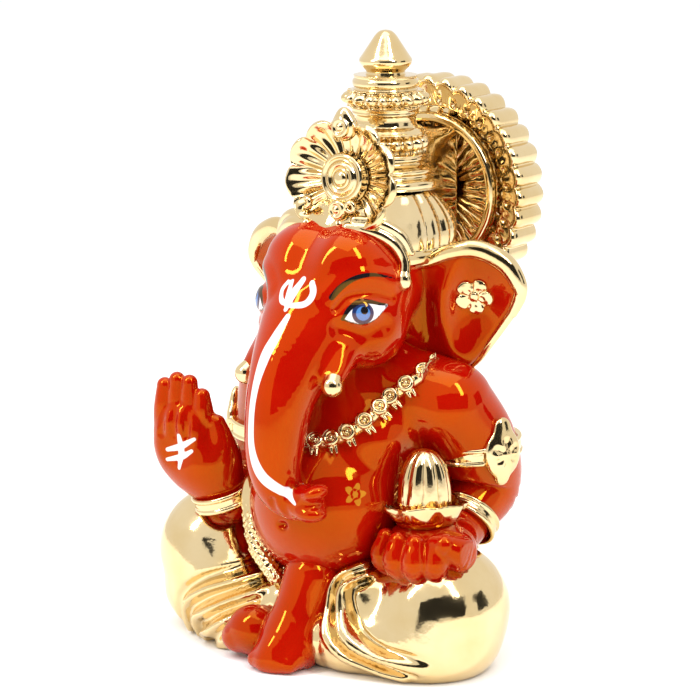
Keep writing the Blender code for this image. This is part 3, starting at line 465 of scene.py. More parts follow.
def paint_chest(body):
    """A small flower in gold on the chest, over the bowl."""
    q = points_of(body) - (BELLY + spot(10.2, -6.7, 3.9))
    sideways, away = q @ spot(0.79, 0.61, 0), length(q)
    petals = 1.5 + 0.45 * np.cos(5 * np.arctan2(q[:, 2], sideways)) - away
    ring = np.abs(away - 0.7) - 0.2
    paint(body, "gold_paint", np.minimum(petals, ring))


# ---- Head ----
BROW = HEAD + spot(0, -5, -4)
TRUNK = near(
    BROW,
    (0, 0, 0), (0, -5.5, -5), (0, -9.8, -9.5), (0, -12.6, -14.5), (0, -14.0, -21.5),
    (0.5, -14.2, -25.6), (1.8, -14.0, -28.2), (4.0, -13.8, -29.6), (6.4, -13.8, -29.0),
)
TRUNK_RADII = (9.0, 7.8, 6.4, 5.4, 4.7, 4.1, 3.6, 2.9, 2.7)
TUSK_ROOT = HEAD + spot(7.2, -11.2, -11.5)
TUSK_TIP = TUSK_ROOT + spot(1.3, -4.2, -3.6)
EYE = HEAD + spot(10.6, -9.1, -4.0)


def head_field(p):
    q = mirrored(p)
    field = ball(q, HEAD + spot(0, 1, -1.5), (12.8, 12.5, 11.1))
    field = join(field, ball(q, HEAD + spot(3.9, -4.6, 2.6), (6.4, 6.4, 5.7)), 2.6)
    field = join(field, ball(q, HEAD + spot(7.0, -3.2, -7.0), (6.3, 6.8, 7.0)), 2.5)
    trunk = limb(p, TRUNK, TRUNK_RADII)
    field = join(field, trunk, 3.2)
    field = join(field, ball(q, HEAD + spot(0, -8, -14), (5.5, 5, 3.6)), 2)
    sheath = (TUSK_ROOT + spot(-1.5, 3.5, 2.5), TUSK_ROOT, TUSK_TIP + spot(-0.5, 1.4, 1.2))
    field = join(field, limb(q, sheath, (3.2, 2.5, 1.7)), 2.0)
    # A lid and a hollow under the brow frame each eye.
    field = join(field, ball(q, EYE + spot(-2.2, 1.9, 0.0), (3.1, 3.1, 2.6)), 1.6)
    brow_line = near(HEAD, (5.4, -12.2, -1.2), (7.6, -10.9, 0.8), (10.4, -7.6, 1.4), (12.3, -3.4, 0.6))
    field = field - 0.45 * crest(q, brow_line, 2.4)
    lid = near(HEAD, (6.6, -11.6, -3.4), (8.2, -10.4, -1.5), (11.0, -7.2, -1.3), (12.4, -4.2, -2.2))
    field = field + 0.40 * crest(q, lid, 1.1)
    hollow = near(HEAD, (7.2, -11.6, -6.4), (9.4, -9.2, -7.2), (12.0, -6.2, -6.4))
    field = field + 0.45 * crest(q, hollow, 2.4)
    notch = near(HEAD, (0, -7.0, 9.4), (0, -9.8, 6.2), (0, -11.6, 2.6))
    field = field + 0.65 * crest(q, notch, 4.2)
    # The end of the trunk: two lips, and soft folds behind them.
    tip = TRUNK[-1]
    field = join(field, ball(p, tip + spot(1.9, -0.8, 1.7), (2.2, 2.2, 1.3), (0, -25, 0)), 0.7)
    field = join(field, ball(p, tip + spot(1.0, -0.8, -1.6), (2.8, 2.4, 1.5)), 0.7)
    mouth = near(tip, (-1.6, -3.6, 0.7), (1.0, -3.6, 0.4), (3.4, -2.2, 0.3), (3.9, 0.4, 0.2))
    field = field + 0.8 * crest(p, mouth, 1.1)
    for back in (2.6, 4.6):
        fold = tip - spot(back, 0, 0.1 * back)
        ring = near(fold, (0.5, -1.6, 3.0), (0.2, -3.4, 0.4), (0.6, -2.4, -2.4))
        field = field + 0.4 * crest(p, ring, 0.9)
    return field


def stroke(u, v, points, widths):
    """How far inside a brush stroke each place of a flat frame is."""
    knots = np.array([[x, y, 0, width / 2] for (x, y), width in zip(points, widths)], float)
    flat = np.stack([u, v, np.zeros(len(u))], axis=1)
    place, _ = on_curve(knots, follow(flat, knots, 6))
    return place[:, 3] - length(flat - place[:, :3])


def strokes(u, v, *lines):
    """How far inside the nearest of several brush strokes each place is."""
    return np.max([stroke(u, v, points, widths) for points, widths in lines], axis=0)


def paint_face(head):
    """The eyes, the brows, a mark on the forehead and a white line down the trunk."""
    p = points_of(head)
    side = mirrored(p)
    look = math.radians(50)
    along = (side - EYE) @ across(look)
    up = (side - EYE)[:, 2]
    top_lid = ((-3.5, -0.9), (-2.4, 0.8), (-0.8, 1.85), (1.0, 1.75), (2.8, 1.25), (4.1, 1.0))
    low_lid = ((-3.5, -0.9), (-2.0, -1.45), (-0.3, -1.7), (1.4, -1.2), (2.8, -0.1), (4.1, 1.0))
    white = -from_outline(along, up, list(top_lid) + list(reversed(low_lid[1:-1])))
    iris = 1.75 - np.hypot(along + 0.35, up - 0.05)
    pupil = 0.62 - np.hypot(along + 0.15, up - 0.55)
    lid = stroke(along, up, top_lid, (0.5, 0.7, 0.72, 0.6, 0.45, 0.25))
    lower = stroke(along, up, low_lid, (0.3, 0.22, 0.2, 0.2, 0.15, 0.1))
    brow = brow_stroke(side)
    hidden = np.where(length(side - EYE) < 8.5, 0, OUTSIDE)
    middle_line = (
        (0.9, -4.4), (0.0, -7.6), (-0.9, -10.6), (-1.4, -15.0), (-1.5, -20.0), (-1.1, -24.6), (0.6, -28.6),
        (3.6, -31.2), (5.8, -33.0),
    )
    widths = (0.9, 1.7, 2.0, 1.5, 1.35, 1.5, 1.9, 1.3, 0.5)
    x, height = p[:, 0], p[:, 2] - HEAD[2]
    stripe = stroke(x, height, middle_line, widths)
    stripe = np.where(p[:, 1] < HEAD[1] - 9.5, stripe, OUTSIDE)
    mark = strokes(
        x, height,
        (((-1.6, 0.4), (-2.2, -1.0), (-1.4, -2.3), (0.4, -2.7)), (0.6, 0.8, 0.8, 0.6)),
        (((2.9, 0.6), (3.5, -0.9), (2.9, -2.4), (0.9, -2.8)), (0.9, 1.0, 1.0, 0.7)),
        (((0.1, -3.4), (0.3, -1.2), (1.0, 0.9)), (0.7, 1.3, 1.0)),
        (((-0.9, 0.6), (-0.5, -1.6), (0.2, -2.8)), (0.5, 0.9, 0.8)),
    )
    mark = np.where(p[:, 1] < HEAD[1] - 9, mark, OUTSIDE)
    paint(head, "white_paint", np.maximum(np.maximum(white + hidden, mark), stripe))
    paint(head, "navy_paint", np.minimum(iris, white) + hidden)
    paint(head, "blue_paint", np.minimum(iris - 0.62, white) + hidden)
    paint(head, "black_paint", np.maximum(np.maximum(np.maximum(lid, lower), pupil) + hidden, brow))


def brow_stroke(side):
    """The brow: a brush stroke lying on the face, thick at its inner end."""
    line = (
        (6.3, -12.1, -1.4), (7.2, -11.2, 0.0), (8.5, -10.3, 1.2), (9.8, -9.2, 1.9), (11.0, -7.6, 2.1),
        (11.9, -5.6, 1.7), (12.5, -3.4, 1.0),
    )
    widths = (0.95, 1.0, 0.85, 0.75, 0.65, 0.5, 0.25)
    knots = np.array([[*(HEAD + spot(*place)), width / 2] for place, width in zip(line, widths)], float)
    place, _ = on_curve(knots, follow(side, knots))
    away = side - place[:, :3]
    outwards = place[:, :3] - HEAD + spot(0, 0, 2)
    outwards /= length(outwards)[:, None]
    flat = away - dot(away, outwards)[:, None] * outwards
    return np.where(length(away) < 3, place[:, 3] - length(flat), OUTSIDE)


# ---- Ears ----
EAR_SWEEP = math.radians(22)
EAR_ROOT = HEAD + spot(11.5, 5.5, -5.0)
EAR_LENGTH = 16.2
EAR_HEIGHT = 21.5
EAR_LEANS = (1.0, 2.2)  # of the left ear and the right one
EAR_OUTLINE = [(EAR_LENGTH * x, EAR_HEIGHT * y) for x, y in (
    (-0.17, 0.29), (0.06, 0.32), (0.28, 0.39), (0.49, 0.425), (0.66, 0.40), (0.84, 0.32), (0.95, 0.19),
    (0.965, 0.09), (0.895, -0.03), (0.79, -0.15), (0.66, -0.29), (0.535, -0.42), (0.385, -0.50),
    (0.20, -0.53), (-0.06, -0.55), (-0.34, -0.48),
)]


def ear_plane(p):
    """Places in the ear's own plane: out along it, up, and towards the front."""
    q = mirrored(p) - EAR_ROOT
    out = q @ across(EAR_SWEEP)
    front = q @ ahead(EAR_SWEEP)
    up = q[:, 2]
    return out, up, front + np.where(p[:, 0] > 0, *EAR_LEANS) * swept(up)


def swept(up):
    """How far an ear with a lean of 1 is set back below its middle."""
    return 0.24 * np.clip(3.0 - up, 0, 30)


def from_outline(u, v, outline):
    """How far outside a closed outline each place is."""
    knots = np.array([[x, y, 0, 0] for x, y in outline + outline[:1]], float)
    edge, _ = on_curve(knots, np.linspace(0, len(knots) - 1, (len(knots) - 1) * 5 + 1))
    edge = edge[:, :2]
    nearest = np.full(len(u), 1e9)
    within = np.zeros(len(u), bool)
    for (ax, ay), (bx, by) in zip(edge[:-1], edge[1:]):
        wx, wy = bx - ax, by - ay
        share = np.clip(((u - ax) * wx + (v - ay) * wy) / (wx * wx + wy * wy + 1e-9), 0, 1)
        nearest = np.minimum(nearest, np.hypot(u - ax - share * wx, v - ay - share * wy))
        crosses = (ay > v) != (by > v)
        beyond = u < ax + wx * (v - ay) / (wy if abs(wy) > 1e-9 else 1e-9)
        within ^= crosses & beyond
    return np.where(within, -nearest, nearest)


def ear_depth(out, up):
    """How far the ear's middle lies behind its edge: a deep dish, with a fold sweeping down it."""
    dish = 2.6 * np.exp(-(((out - 9.0) / 5.2) ** 2) - ((up - 1.2) / 6.0) ** 2)
    line = 3.6 + 0.035 * (up - 1.0) ** 2 + 0.10 * up
    fold = 2.0 * np.exp(-(((out - line) / 1.7) ** 2) - ((up + 0.5) / 7.5) ** 2)
    tuck = 1.5 * np.exp(-(((out - 0.4) / 2.0) ** 2) - ((up + 0.5) / 7.5) ** 2)
    lobe = 0.9 * np.exp(-(((out - 6.0) / 3.0) ** 2) - ((up + 8.5) / 2.6) ** 2)
    return dish - fold + tuck - lobe


def ear_field(p):
    out, up, front = ear_plane(p)
    edge = from_outline(out, up, EAR_OUTLINE)
    wall = np.abs(front + ear_depth(out, up)) - 0.95
    return -join(-edge, -wall, 0.9)


def ear_edge(first, last, push, lean):
    """Places on the ear's edge, moved outwards, as points of the left ear."""
    centre = spot(EAR_LENGTH * 0.35, 0)
    places = []
    for x, y in EAR_OUTLINE[first:last]:
        away = spot(x, y) - centre
        x, y = spot(x, y) + away / np.linalg.norm(away) * push
        back = EAR_ROOT + lean * swept(y) * spot(-math.sin(EAR_SWEEP), math.cos(EAR_SWEEP), 0)
        places.append(back + spot(x * math.cos(EAR_SWEEP), x * math.sin(EAR_SWEEP), y))
    return places


def ear_trim_field(p):
    q = mirrored(p)
    sides = []
    for lean in EAR_LEANS:
        rim = limb(q, ear_edge(0, 9, 0.5, lean), (0.7, 1.0, 1.35, 1.55, 1.6, 1.6, 1.35, 0.95, 0.6))
        lower = limb(q, ear_edge(7, 14, 0.15, lean), (0.9, 0.75, 0.7, 0.65, 0.6, 0.6, 0.4))
        sides.append(join(rim, lower, 0.5))
    return np.where(p[:, 0] > 0, *sides)


def flower_field(p):
    """A flower of five broad petals, on the ear."""
    out, up, front = ear_plane(p)
    x, y = out - EAR_LENGTH * 0.52, up - 1.6
    radius, turn = np.hypot(x, y), np.arctan2(y, x)
    edge = radius - 3.1 + 0.8 * (1 - np.abs(np.cos(2.5 * turn + 0.4)))
    height = front + ear_depth(out, up) - 0.95
    wave = 0.12 * np.cos(5 * turn + 0.8) * np.cos(radius * 3)
    dome = height - 0.75 + 0.3 * np.clip(radius / 3.0, 0, 1) ** 2 - wave
    crease = 0.22 * np.exp(-((np.cos(2.5 * turn + 0.4) * radius / 0.55) ** 2)) * (radius > 0.6)
    heart = ball(np.stack([x, y, height - 0.8], 1), 0, (0.8, 0.8, 0.5))
    petals = -join(-edge, -(dome + crease), 0.35)
    petals = np.maximum(petals, -height - 0.6)
    return join(petals, heart, 0.2)


# ---- Legs and cloth ----
def wrap_field(p):
    """Seat and both legs in one cloth, with its folds."""
    seat = ball(p, SEAT + spot(0, 0, 7.6), (18.5, 14, 9.4))
    seat = join(seat, ball(p, SEAT + spot(0, 1, 3), (16.5, 13, 5)), 3)
    left = ball(p, LEFT_KNEE, (10.2, 11.0, 10.0))
    left = join(left, ball(p, LEFT_KNEE + spot(-1, -1, -5.7), (10.3, 11.1, 6.5)), 3)
    left = join(left, limb(p, (SEAT + spot(12, 3, 9.5), LEFT_KNEE + spot(-1, 3, 0)), (9.5, 9.9)), 2)
    shin = near(LEFT_KNEE, (-2, -4, -3), (-10, -9, -4.7), (-15, -10, -5.2))
    left = join(left, limb(p, shin, (7.5, 5.5, 4.5)), 3)
    left = join(left, ball(p, spot(10.2, BELLY[1] - 4.0, 11.2), (6.2, 5.6, 5.6)), 2.5)
    right = ball(p, RIGHT_KNEE, (10, 10.5, 10.3))
    right = join(right, ball(p, RIGHT_KNEE + spot(1.5, -0.5, -7.5), (10, 10, 6)), 3)
    right = join(right, limb(p, (SEAT + spot(-12, 3, 10), RIGHT_KNEE + spot(1, 3, -2)), (9.5, 9.5)), 2)
    shin = near(RIGHT_KNEE, (4, -3, -4), (13.6, -7, -5.5), (19.6, -7.5, -4.5))
    right = join(right, limb(p, shin, (8, 5.5, 4.5)), 3)
    hem = (RIGHT_KNEE + spot(2.5, -4.5, -8), spot(-14, BELLY[1] - 8.0, 2.8))
    right = join(right, limb(p, hem, (5.5, 4.2)), 3)
    field = join(seat, join(left, right, 1.5), 2.0)
    # Folds fall from the lap across the right shin.
    front = p * spot(1, 0, 1)
    facing = np.clip((-5.0 - p[:, 1]) / 4.0, 0, 1)
    on_right = facing * np.clip((-4.0 - p[:, 0]) / 3.0, 0, 1)
    for i in range(7):
        step = i * 0.75
        line = (
            spot(-5.0 - 0.8 * step, 0, 15.8 - 2.2 * step),
            spot(-13.5 + 0.2 * step, 0, 12.6 - 2.0 * step),
            spot(-19.5 + 0.9 * step, 0, 10.2 - 2.0 * step),
            spot(-23.6 + 1.4 * step, 0, 6.6 - 1.4 * step),
            spot(-24.4 + 1.7 * step, 0, 1.2 - 0.6 * step),
        )
        field = field + (0.95 if i % 2 == 0 else -0.85) * on_right * crest(front, line, 1.5)
    # Bands sweep round the left knee from the lap, down and out along the floor.
    on_left = facing * np.clip((p[:, 0] - 3.0) / 2.0, 0, 1) * np.clip((27.0 - p[:, 0]) / 9.0, 0, 1)
    start = ((12, 17.6), (7.4, 15.2), (6.7, 11.2), (8.1, 7.4), (11.3, 4.2), (16, 2.0), (21, 0.8))
    spread = ((0.2, -1.0), (1.4, -0.6), (1.9, -0.1), (2.2, 0.3), (2.6, 0.6), (2.7, 1.2), (2.7, 1.3))
    for step, push, wide in ((0, -1.0, 1.3), (0.75, 0.9, 1.0), (1.5, -1.1, 1.5), (2.5, 1.25, 1.2)):
        line = [spot(x + step * right, 0, z + step * up) for (x, z), (right, up) in zip(start, spread)]
        field = field + push * on_left * crest(front, line, wide)
    return np.maximum(field, 0.15 - p[:, 2])


# ---- Feet ----
def feet_field(p):
    low, _ = corners("front_foot")
    toe = spot(middle("front_foot")[0] - 1.1, low[1], 0)
    shin = limb(p, near(toe, (1.4, 11, 14), (0.7, 9, 9), (0.0, 7, 4.6)), (4.6, 4.4, 4.8))
    sole = limb(p, near(toe, (0.2, 6.4, 3.4), (-0.4, 3.6, 2.4)), (5.0, 3.3))
    front = join(shin, sole, 2)
    for i in range(4):
        side = (i - 1.5) * 2.1
        ends = near(toe, (side * 0.9 + 0.4, 4.2, 2.5), (side - 0.3, 1.7 + abs(i - 1) * 0.5, 1.6))
        front = join(front, limb(p, ends, (1.8, 1.35)), 1.3)
    heel = middle("tucked_foot") + spot(1.0, 0.0, 0.0)
    tucked = ball(p, heel, (4.8, 4.0, 4.2), (0, 15, 20))
    tucked = join(tucked, limb(p, (heel, heel + spot(-3.0, -1.2, -1.2)), (3.2, 2.6)), 1)
    return np.maximum(np.minimum(front, tucked), 0.1 - p[:, 2])


# ---- Hands ----
def left_hand_field(p):
    """A cupped hand under the bowl, its fingers curled up round it."""
    palm = BOWL + spot(0.4, 0.5, -4.8)
    field = limb(p, (LEFT_WRIST + spot(0, -0.6, -0.6), palm + spot(0, 3, -0.5)), (4.3, 5.0))
    field = join(field, ball(p, palm + spot(0.6, 0, 0), (7.6, 6.8, 4.4)), 1.5)
    field = join(field, ball(p, palm + spot(-0.5, -1.0, -3.6), (5.4, 5.0, 3.8)), 1.5)
    for angle, thick in ((236, 1.65), (262, 1.75), (287, 1.8), (312, 1.75)):
        turn = math.radians(angle)
        out = across(turn)
        places = [palm + out * far + spot(0, 0, up) for far, up in ((4.4, -4.4), (7.8, -1.5), (7.3, 1.9))]
        field = join(field, limb(p, places, (1.7, thick + 0.3, thick - 0.3)), 0.55)
    turn = math.radians(-12)
    out = across(turn)
    places = (palm + out * 4.6, palm + out * 7.8 + spot(0, -1, 0.2), palm + out * 8.2 + spot(-1.4, -3.6, 2.0))
    field = join(field, limb(p, places, (3.4, 2.9, 1.8)), 0.8)
    return carve(field, ball(p, BOWL + spot(0, 0, 1.6), (6.3, 6.3, 3.8)), 0.4)


HAND_WRIST = RIGHT_WRIST + spot(-0.4, -2.4, 1.4)
PALM_CENTRE = HAND_WRIST + spot(-4.2, -4.0, 8.7)
PALM_YAW = math.radians(12)


def right_hand_field(p):
    """A raised hand, its palm to the front, its fingers together and the thumb beside them."""
    turn = (8, 0, 12)
    field = ball(p, PALM_CENTRE + spot(-0.5, 0, -0.8), (5.5, 3.1, 7.2), turn)
    field = join(field, ball(p, PALM_CENTRE + spot(0.8, 3.2, -3.0), (5.0, 4.2, 6.2), (-25, 0, 12)), 2)
    field = join(field, ball(p, PALM_CENTRE + spot(3.9, 2.6, -3.6), (4.4, 4.4, 5.0), (0, 0, 20)), 2.2)
    field = join(field, limb(p, (HAND_WRIST, PALM_CENTRE + spot(1.8, 2.5, -5)), (4.3, 4.6)), 2)
    sideways = across(PALM_YAW)
    for finger in range(4):
        side = sideways * ((finger - 1.5) * 2.35 - 0.7)
        rise = (5.3, 6.4, 6.1, 4.0)[finger]
        root = PALM_CENTRE + side + spot(0, 0.4, 1.5)
        places = (root, root + spot(0.1, -0.3, 3.6), PALM_CENTRE + side * 0.96 + spot(0.1, 0.1, 3.6 + rise))
        field = join(field, limb(p, places, (1.9, 1.75, 1.35)), 0.45)
    thumb = PALM_CENTRE + sideways * 5.6
    places = near(thumb, (-0.6, 1.6, -4.6), (0.5, 0.8, -0.6), (-0.4, 0.4, 3.2))
    field = join(field, limb(p, places, (3.0, 2.2, 1.45)), 1.0)
    for finger in range(3):
        side = sideways * ((finger - 1.0) * 2.35 - 0.7)
        seam = [PALM_CENTRE + side + spot(0.1, -2.6, rise) for rise in (1.2, 4.4, 7.4)]
        field = field + 0.8 * crest(p, seam, 1.0)
    cup = PALM_CENTRE + spot(-0.4, -4.9, -0.6)
    return carve(field, ball(p, cup, (3.4, 2.4, 3.8), turn), 1.6)


def paint_palm(hand):
    """Three plain brush strokes on the palm."""
    p = points_of(hand) - PALM_CENTRE
    u = p @ across(PALM_YAW)
    v = p[:, 2]
    front = p @ ahead(PALM_YAW) > 0
    mark = strokes(
        u, v,
        (((-0.2, -4.2), (0.1, -1.4), (-0.2, 1.2)), (0.6, 1.2, 0.8)),
        (((-2.5, -1.4), (0.0, -0.6), (2.6, 0.9)), (0.7, 1.1, 0.6)),
        (((-2.6, -3.1), (0.2, -2.3), (2.2, -1.1)), (0.6, 1.0, 0.6)),
    )
    paint(hand, "white_paint", np.where(front, mark, OUTSIDE))


# ---- Jewellery ----
def ring_line(p, centre, way, radius, height, thick):
    """A thin round bar about a line, raised along it."""
    way = unit(way)
    return hoop(p, centre + way * height, way, radius, thick, thick)


def armlet_field(arm, side):
    centre = arm[1]
    way = spot(side * 0.05, 0.10, -1)
    out = spot(side * 1.0, -0.35, 0) / math.hypot(1, 0.35)
    sideways = spot(-out[1], out[0], 0)
    plaque = centre + out * 7.0

    def field(p):
        band = hoop(p, centre, way, 6.9, 0.6, 1.25)
        for height in (-1.1, 1.1):
            band = join(band, ring_line(p, centre, way, 7.3, height, 0.38), 0.15)
        q = np.stack([(p - plaque) @ out, (p - plaque) @ sideways, (p - plaque)[:, 2]], 1)
        shield = ball(q, 0, (1.4, 3.5, 4.1))
        shield = join(shield, ball(q, spot(-0.1, 0, 3.9), (0.9, 1.7, 2.0)), 0.9)
        shield = join(shield, ball(q, spot(-0.1, 0, -3.9), (0.8, 1.4, 1.4)), 0.6)
        turns = np.arctan2(q[:, 2], q[:, 1])
        radius = np.hypot(q[:, 1], q[:, 2])
        petals = 0.22 * np.cos(6 * turns) * np.clip(radius / 1.2 - 0.6, 0, 1) * np.clip(2.9 - radius, 0, 1)
        shield = shield - petals
        shield = join(shield, ball(q, spot(1.1, 0, 0), (0.6, 0.9, 0.9)), 0.15)
        return join(band, shield, 0.4)

    return field


def bracelet_field(centre, way):
    def field(p):
        ring = hoop(p, centre, way, 4.75, 0.55, 1.0)
        for height in (-0.95, 0.95):
            ring = join(ring, ring_line(p, centre, way, 5.15, height, 0.42), 0.15)
        return ring

    return field


def on_skin(start, way, field):
    """Where a line inwards first meets a shape, and which way the shape faces there."""
    reach = np.linspace(0, 60, 1200)
    places = start + reach[:, None] * way
    first = np.argmax(field(places) < 0)
    place = places[first]
    facing = slope_of(field, place[None])[0]
    return place, unit(facing)


def necklace_places():
    places = []
    for turn in np.radians(np.linspace(-95, 95, 21)):
        way = ahead(turn)
        height = NECK[2] + 1.0 - 12.5 * max(math.cos(turn), 0) ** 1.5
        start = spot(0, NECK[1] + 1, height) + way * 40
        places.append(on_skin(start, -way, body_field))
    return places


def necklace_field(places):
    spots = [place for place, _ in places]

    def field(p):
        band = limb(p, [place + facing * 0.1 for place, facing in places], [1.15] * len(places))
        for i, (place, facing) in enumerate(places):
            before, after = spots[max(i - 1, 0)], spots[min(i + 1, len(spots) - 1)]
            along = unit(after - before)
            down = np.cross(along, facing)
            down = down if down[2] < 0 else -down
            centre = place + facing * 1.2 + down * 0.1
            band = join(band, hoop(p, centre, facing, 1.02, 0.42, 0.5), 0.12)
            band = np.minimum(band, ball(p, centre, (0.5, 0.5, 0.5)))
            for slide, drop in ((-0.55, 1.5), (0.25, 1.9)):
                tooth = centre + along * slide + down * 1.0 - facing * 0.5
                band = join(band, limb(p, (tooth, tooth + down * drop * 0.8), (0.5, 0.2)), 0.2)
            top = centre - down * 1.25 - facing * 0.2
            band = join(band, ball(p, top, (0.42, 0.42, 0.42)), 0.2)
        return band

    return field


def sash_field(p):
    """The end of the shoulder cloth: a pleated wedge, then a beaded hem over the lap."""
    places = near(BELLY, (-10.5, -3.5, 6), (-11.5, -4.5, 0), (-9, -7, -7), (-4, -9, -11.5))
    field = limb(p, places, (1.6, 2.0, 1.7, 1.3))
    wave = np.sin((p[:, 0] * 0.6 - p[:, 1] * 0.4 + p[:, 2] * 0.2) * 3.4)
    beads = np.sin(p[:, 0] * 4.2) * np.sin(p[:, 1] * 4.2) * np.sin(p[:, 2] * 4.2)
    low = np.clip((BELLY[2] - p[:, 2]) / 6, 0, 1)
    return field - 0.22 * wave * (1 - low) - 0.28 * beads * low


def tusk_field(p):
    q = mirrored(p)
    return limb(q, (TUSK_ROOT + spot(0.6, -2.2, -1.8), TUSK_TIP + spot(0, 0.2, 0.2)), (1.5, 1.72))


# ---- Crown ----
def cap_field(p):
    field = ball(p, HEAD + spot(0, 7.5, 5.5), (12.8, 13.2, 10.2))
    field = join(field, ball(p, HEAD + spot(0, 12, 6), (11.5, 11.5, 6.5)), 2)
    x, y = p[:, 0], p[:, 1] - CROWN_AXIS[1]
    turn = np.arctan2(np.abs(x), -y)
    back = np.clip((turn - 0.75) / 0.4, 0, 1)
    flute = np.abs(np.cos(turn * 10)) - 0.55
    field = field - 0.6 * flute * back
    swirl = np.sin(turn * 9 + (p[:, 2] - HEAD[2]) * 0.35)
    field = field - 0.18 * swirl * (1 - back)
    band = hoop(p, HEAD + spot(0, 7.5, 3.0), (0, 0, 1), 12.9, 0.7, 1.0)
    field = join(field, np.maximum(band, p[:, 1] - CROWN_AXIS[1] - 3), 0.5)
    top = corners("crown_cap")[1][2]
    return np.maximum(field, p[:, 2] - top)


def drop_field(p):
    """The brow band's curl: two ribs that end in a drop in front of the ear."""
    q = mirrored(p)
    root = HEAD + spot(10.6, 0, 0)
    bends = ((-6.6, -4.6, 8.4), (-3.0, -3.2, 8.0), (0.0, -1.4, 6.2), (1.6, -0.6, 3.4), (2.1, -1.2, 0.7))
    first = near(root, *bends)
    field = limb(q, first, (0.9, 1.1, 1.1, 0.95, 1.0))
    second = [place + spot(0.9, 0.9, 1.2) for place in first[:4]]
    field = join(field, limb(q, second, (0.8, 0.9, 0.8, 0.5)), 0.35)
    return join(field, ball(q, first[-1] + spot(0, -0.1, -0.5), (1.25, 1.1, 1.45)), 0.5)


def ripple(lobes, depth, first=0.0, last=1.0):
    """Round lobes in the radius, over a part of the profile."""

    def swell(radius, height, turn, share):
        part = np.clip((share - first) * 12, 0, 1) * np.clip((last - share) * 12, 0, 1)
        return radius - depth * (1 - np.abs(np.cos(lobes * turn / 2))) * part, height

    return swell


def make_tiers():
    axis_y = CROWN_AXIS[1]

    def tier(name, profile, swell=None, count=144):
        low, high = corners(name)
        half, tall = half_width(name), high[2] - low[2]
        place = standing(0, axis_y, low[2])
        gild(lathe(name + "_visual", scaled(profile, half, tall), place, count, swell), name)

    tier("crown_drum", (
        (0, 0), (0.96, 0), (1.0, 0.06), (1.0, 0.20), (0.95, 0.27), (0.88, 0.33), (0.87, 0.42), (0.91, 0.48),
        (0.91, 0.56), (0.84, 0.62), (0.76, 0.68), (0.72, 0.76), (0.76, 0.83), (0.76, 0.92), (0.70, 1.02),
        (0, 1.02),
    ))
    beads = (
        (0, -0.08), (0.80, -0.08), (0.86, 0.08), (0.97, 0.28), (1.0, 0.5), (0.97, 0.72), (0.86, 0.92),
        (0.80, 1.08), (0, 1.08),
    )
    tier("crown_lower_ring", beads, ripple(18, 0.9, 0.1, 0.9), 216)
    tier("crown_collar", (
        (0, -0.05), (0.98, -0.05), (1.0, 0.08), (0.94, 0.18), (0.83, 0.26), (0.79, 0.45), (0.80, 0.66),
        (0.86, 0.76), (0.86, 0.86), (0.82, 1.05), (0, 1.05),
    ))
    tier("crown_upper_ring", beads, ripple(18, 0.9, 0.1, 0.9), 216)
    tier("crown_plate", (
        (0, -0.1), (0.90, -0.1), (0.94, 0.12), (1.0, 0.3), (1.0, 0.62), (0.95, 0.8), (0.96, 0.95),
        (0.88, 1.05), (0, 1.05),
    ))
    tier("crown_finial", (
        (0, -0.05), (0.70, -0.05), (0.74, 0.05), (0.90, 0.16), (1.0, 0.26), (0.99, 0.34), (0.88, 0.44),
        (0.62, 0.68), (0.40, 0.88), (0.24, 0.97), (0.08, 1.0), (0, 1.0),
    ))


ROSETTE = facing_front((1.9, HEAD[1] - 1.2, HEAD[2] + 15.8), 6)
ROSETTE_RADIUS = 9.3
LOBES = 11


def make_rosette():
    """A dished flower plaque of ribbed petals with a rolled edge, and its ringed boss."""
    profile = (
        (0, -1.0), (2.8, -1.0), (5.4, -0.6), (8.0, 0.5), (9.4, 1.5), (9.9, 2.2), (9.5, 2.75), (8.8, 2.35),
        (7.6, 1.3), (5.8, 0.6), (4.0, 0.3), (0, 0.3),
    )

    def petals(radius, height, turn, share):
        out = radius / ROSETTE_RADIUS
        lobe = np.abs(np.cos(LOBES / 2 * turn + math.pi / 4))
        rib = np.cos(2 * LOBES * turn)
        reach = np.clip(out - 0.35, 0, 1) / 0.65
        front = np.clip((share - 0.52) * 20, 0, 1)
        radius = radius * (1 - 0.11 * (1 - lobe**0.6) * reach**1.5) * (1 + 0.10 * np.cos(turn) ** 2)
        edge = np.clip(reach * 2, 0, 1) * (1 - reach**4)
        height = height + (0.75 * (lobe - 0.5) * reach + 0.34 * rib * edge) * front
        return radius, height

    piece = lathe("crown_rosette_visual", profile, ROSETTE, 480, petals)
    gild(piece, "crown_rosette")
    wide = half_width("rosette_boss") * 1.2
    rings = scaled((
        (0, 2.05), (0.14, 2.0), (0.26, 1.75), (0.32, 1.35), (0.40, 1.22), (0.47, 1.50), (0.55, 1.72),
        (0.63, 1.52), (0.70, 1.15), (0.77, 1.12), (0.86, 1.42), (0.95, 1.30), (1.0, 0.9), (1.0, 0.2),
        (0.96, -0.4), (0, -0.4),
    ), wide)
    boss = lathe("rosette_boss_visual", rings, ROSETTE @ Matrix.Translation((0, 0, 0.9)), 96)
    gild(boss, "rosette_boss")


def rosette_place(x, y, z):
    return np.array(ROSETTE @ Vector((x, y, z)))


def crest_field(p):
    top = rosette_place(0, 8.3, 2.0)
    field = ball(p, top, (2.3, 1.5, 2.4))
    field = join(field, ball(p, top + spot(0, -0.2, 1.7), (1.2, 1.0, 1.4)), 0.8)
    field = join(field, hoop(p, top + spot(0, -1.3, -0.1), (0, -1, 0.1), 1.25, 0.35, 0.4), 0.25)
    return join(field, ball(p, top + spot(0, -1.4, 0), (0.6, 0.5, 0.6)), 0.15)


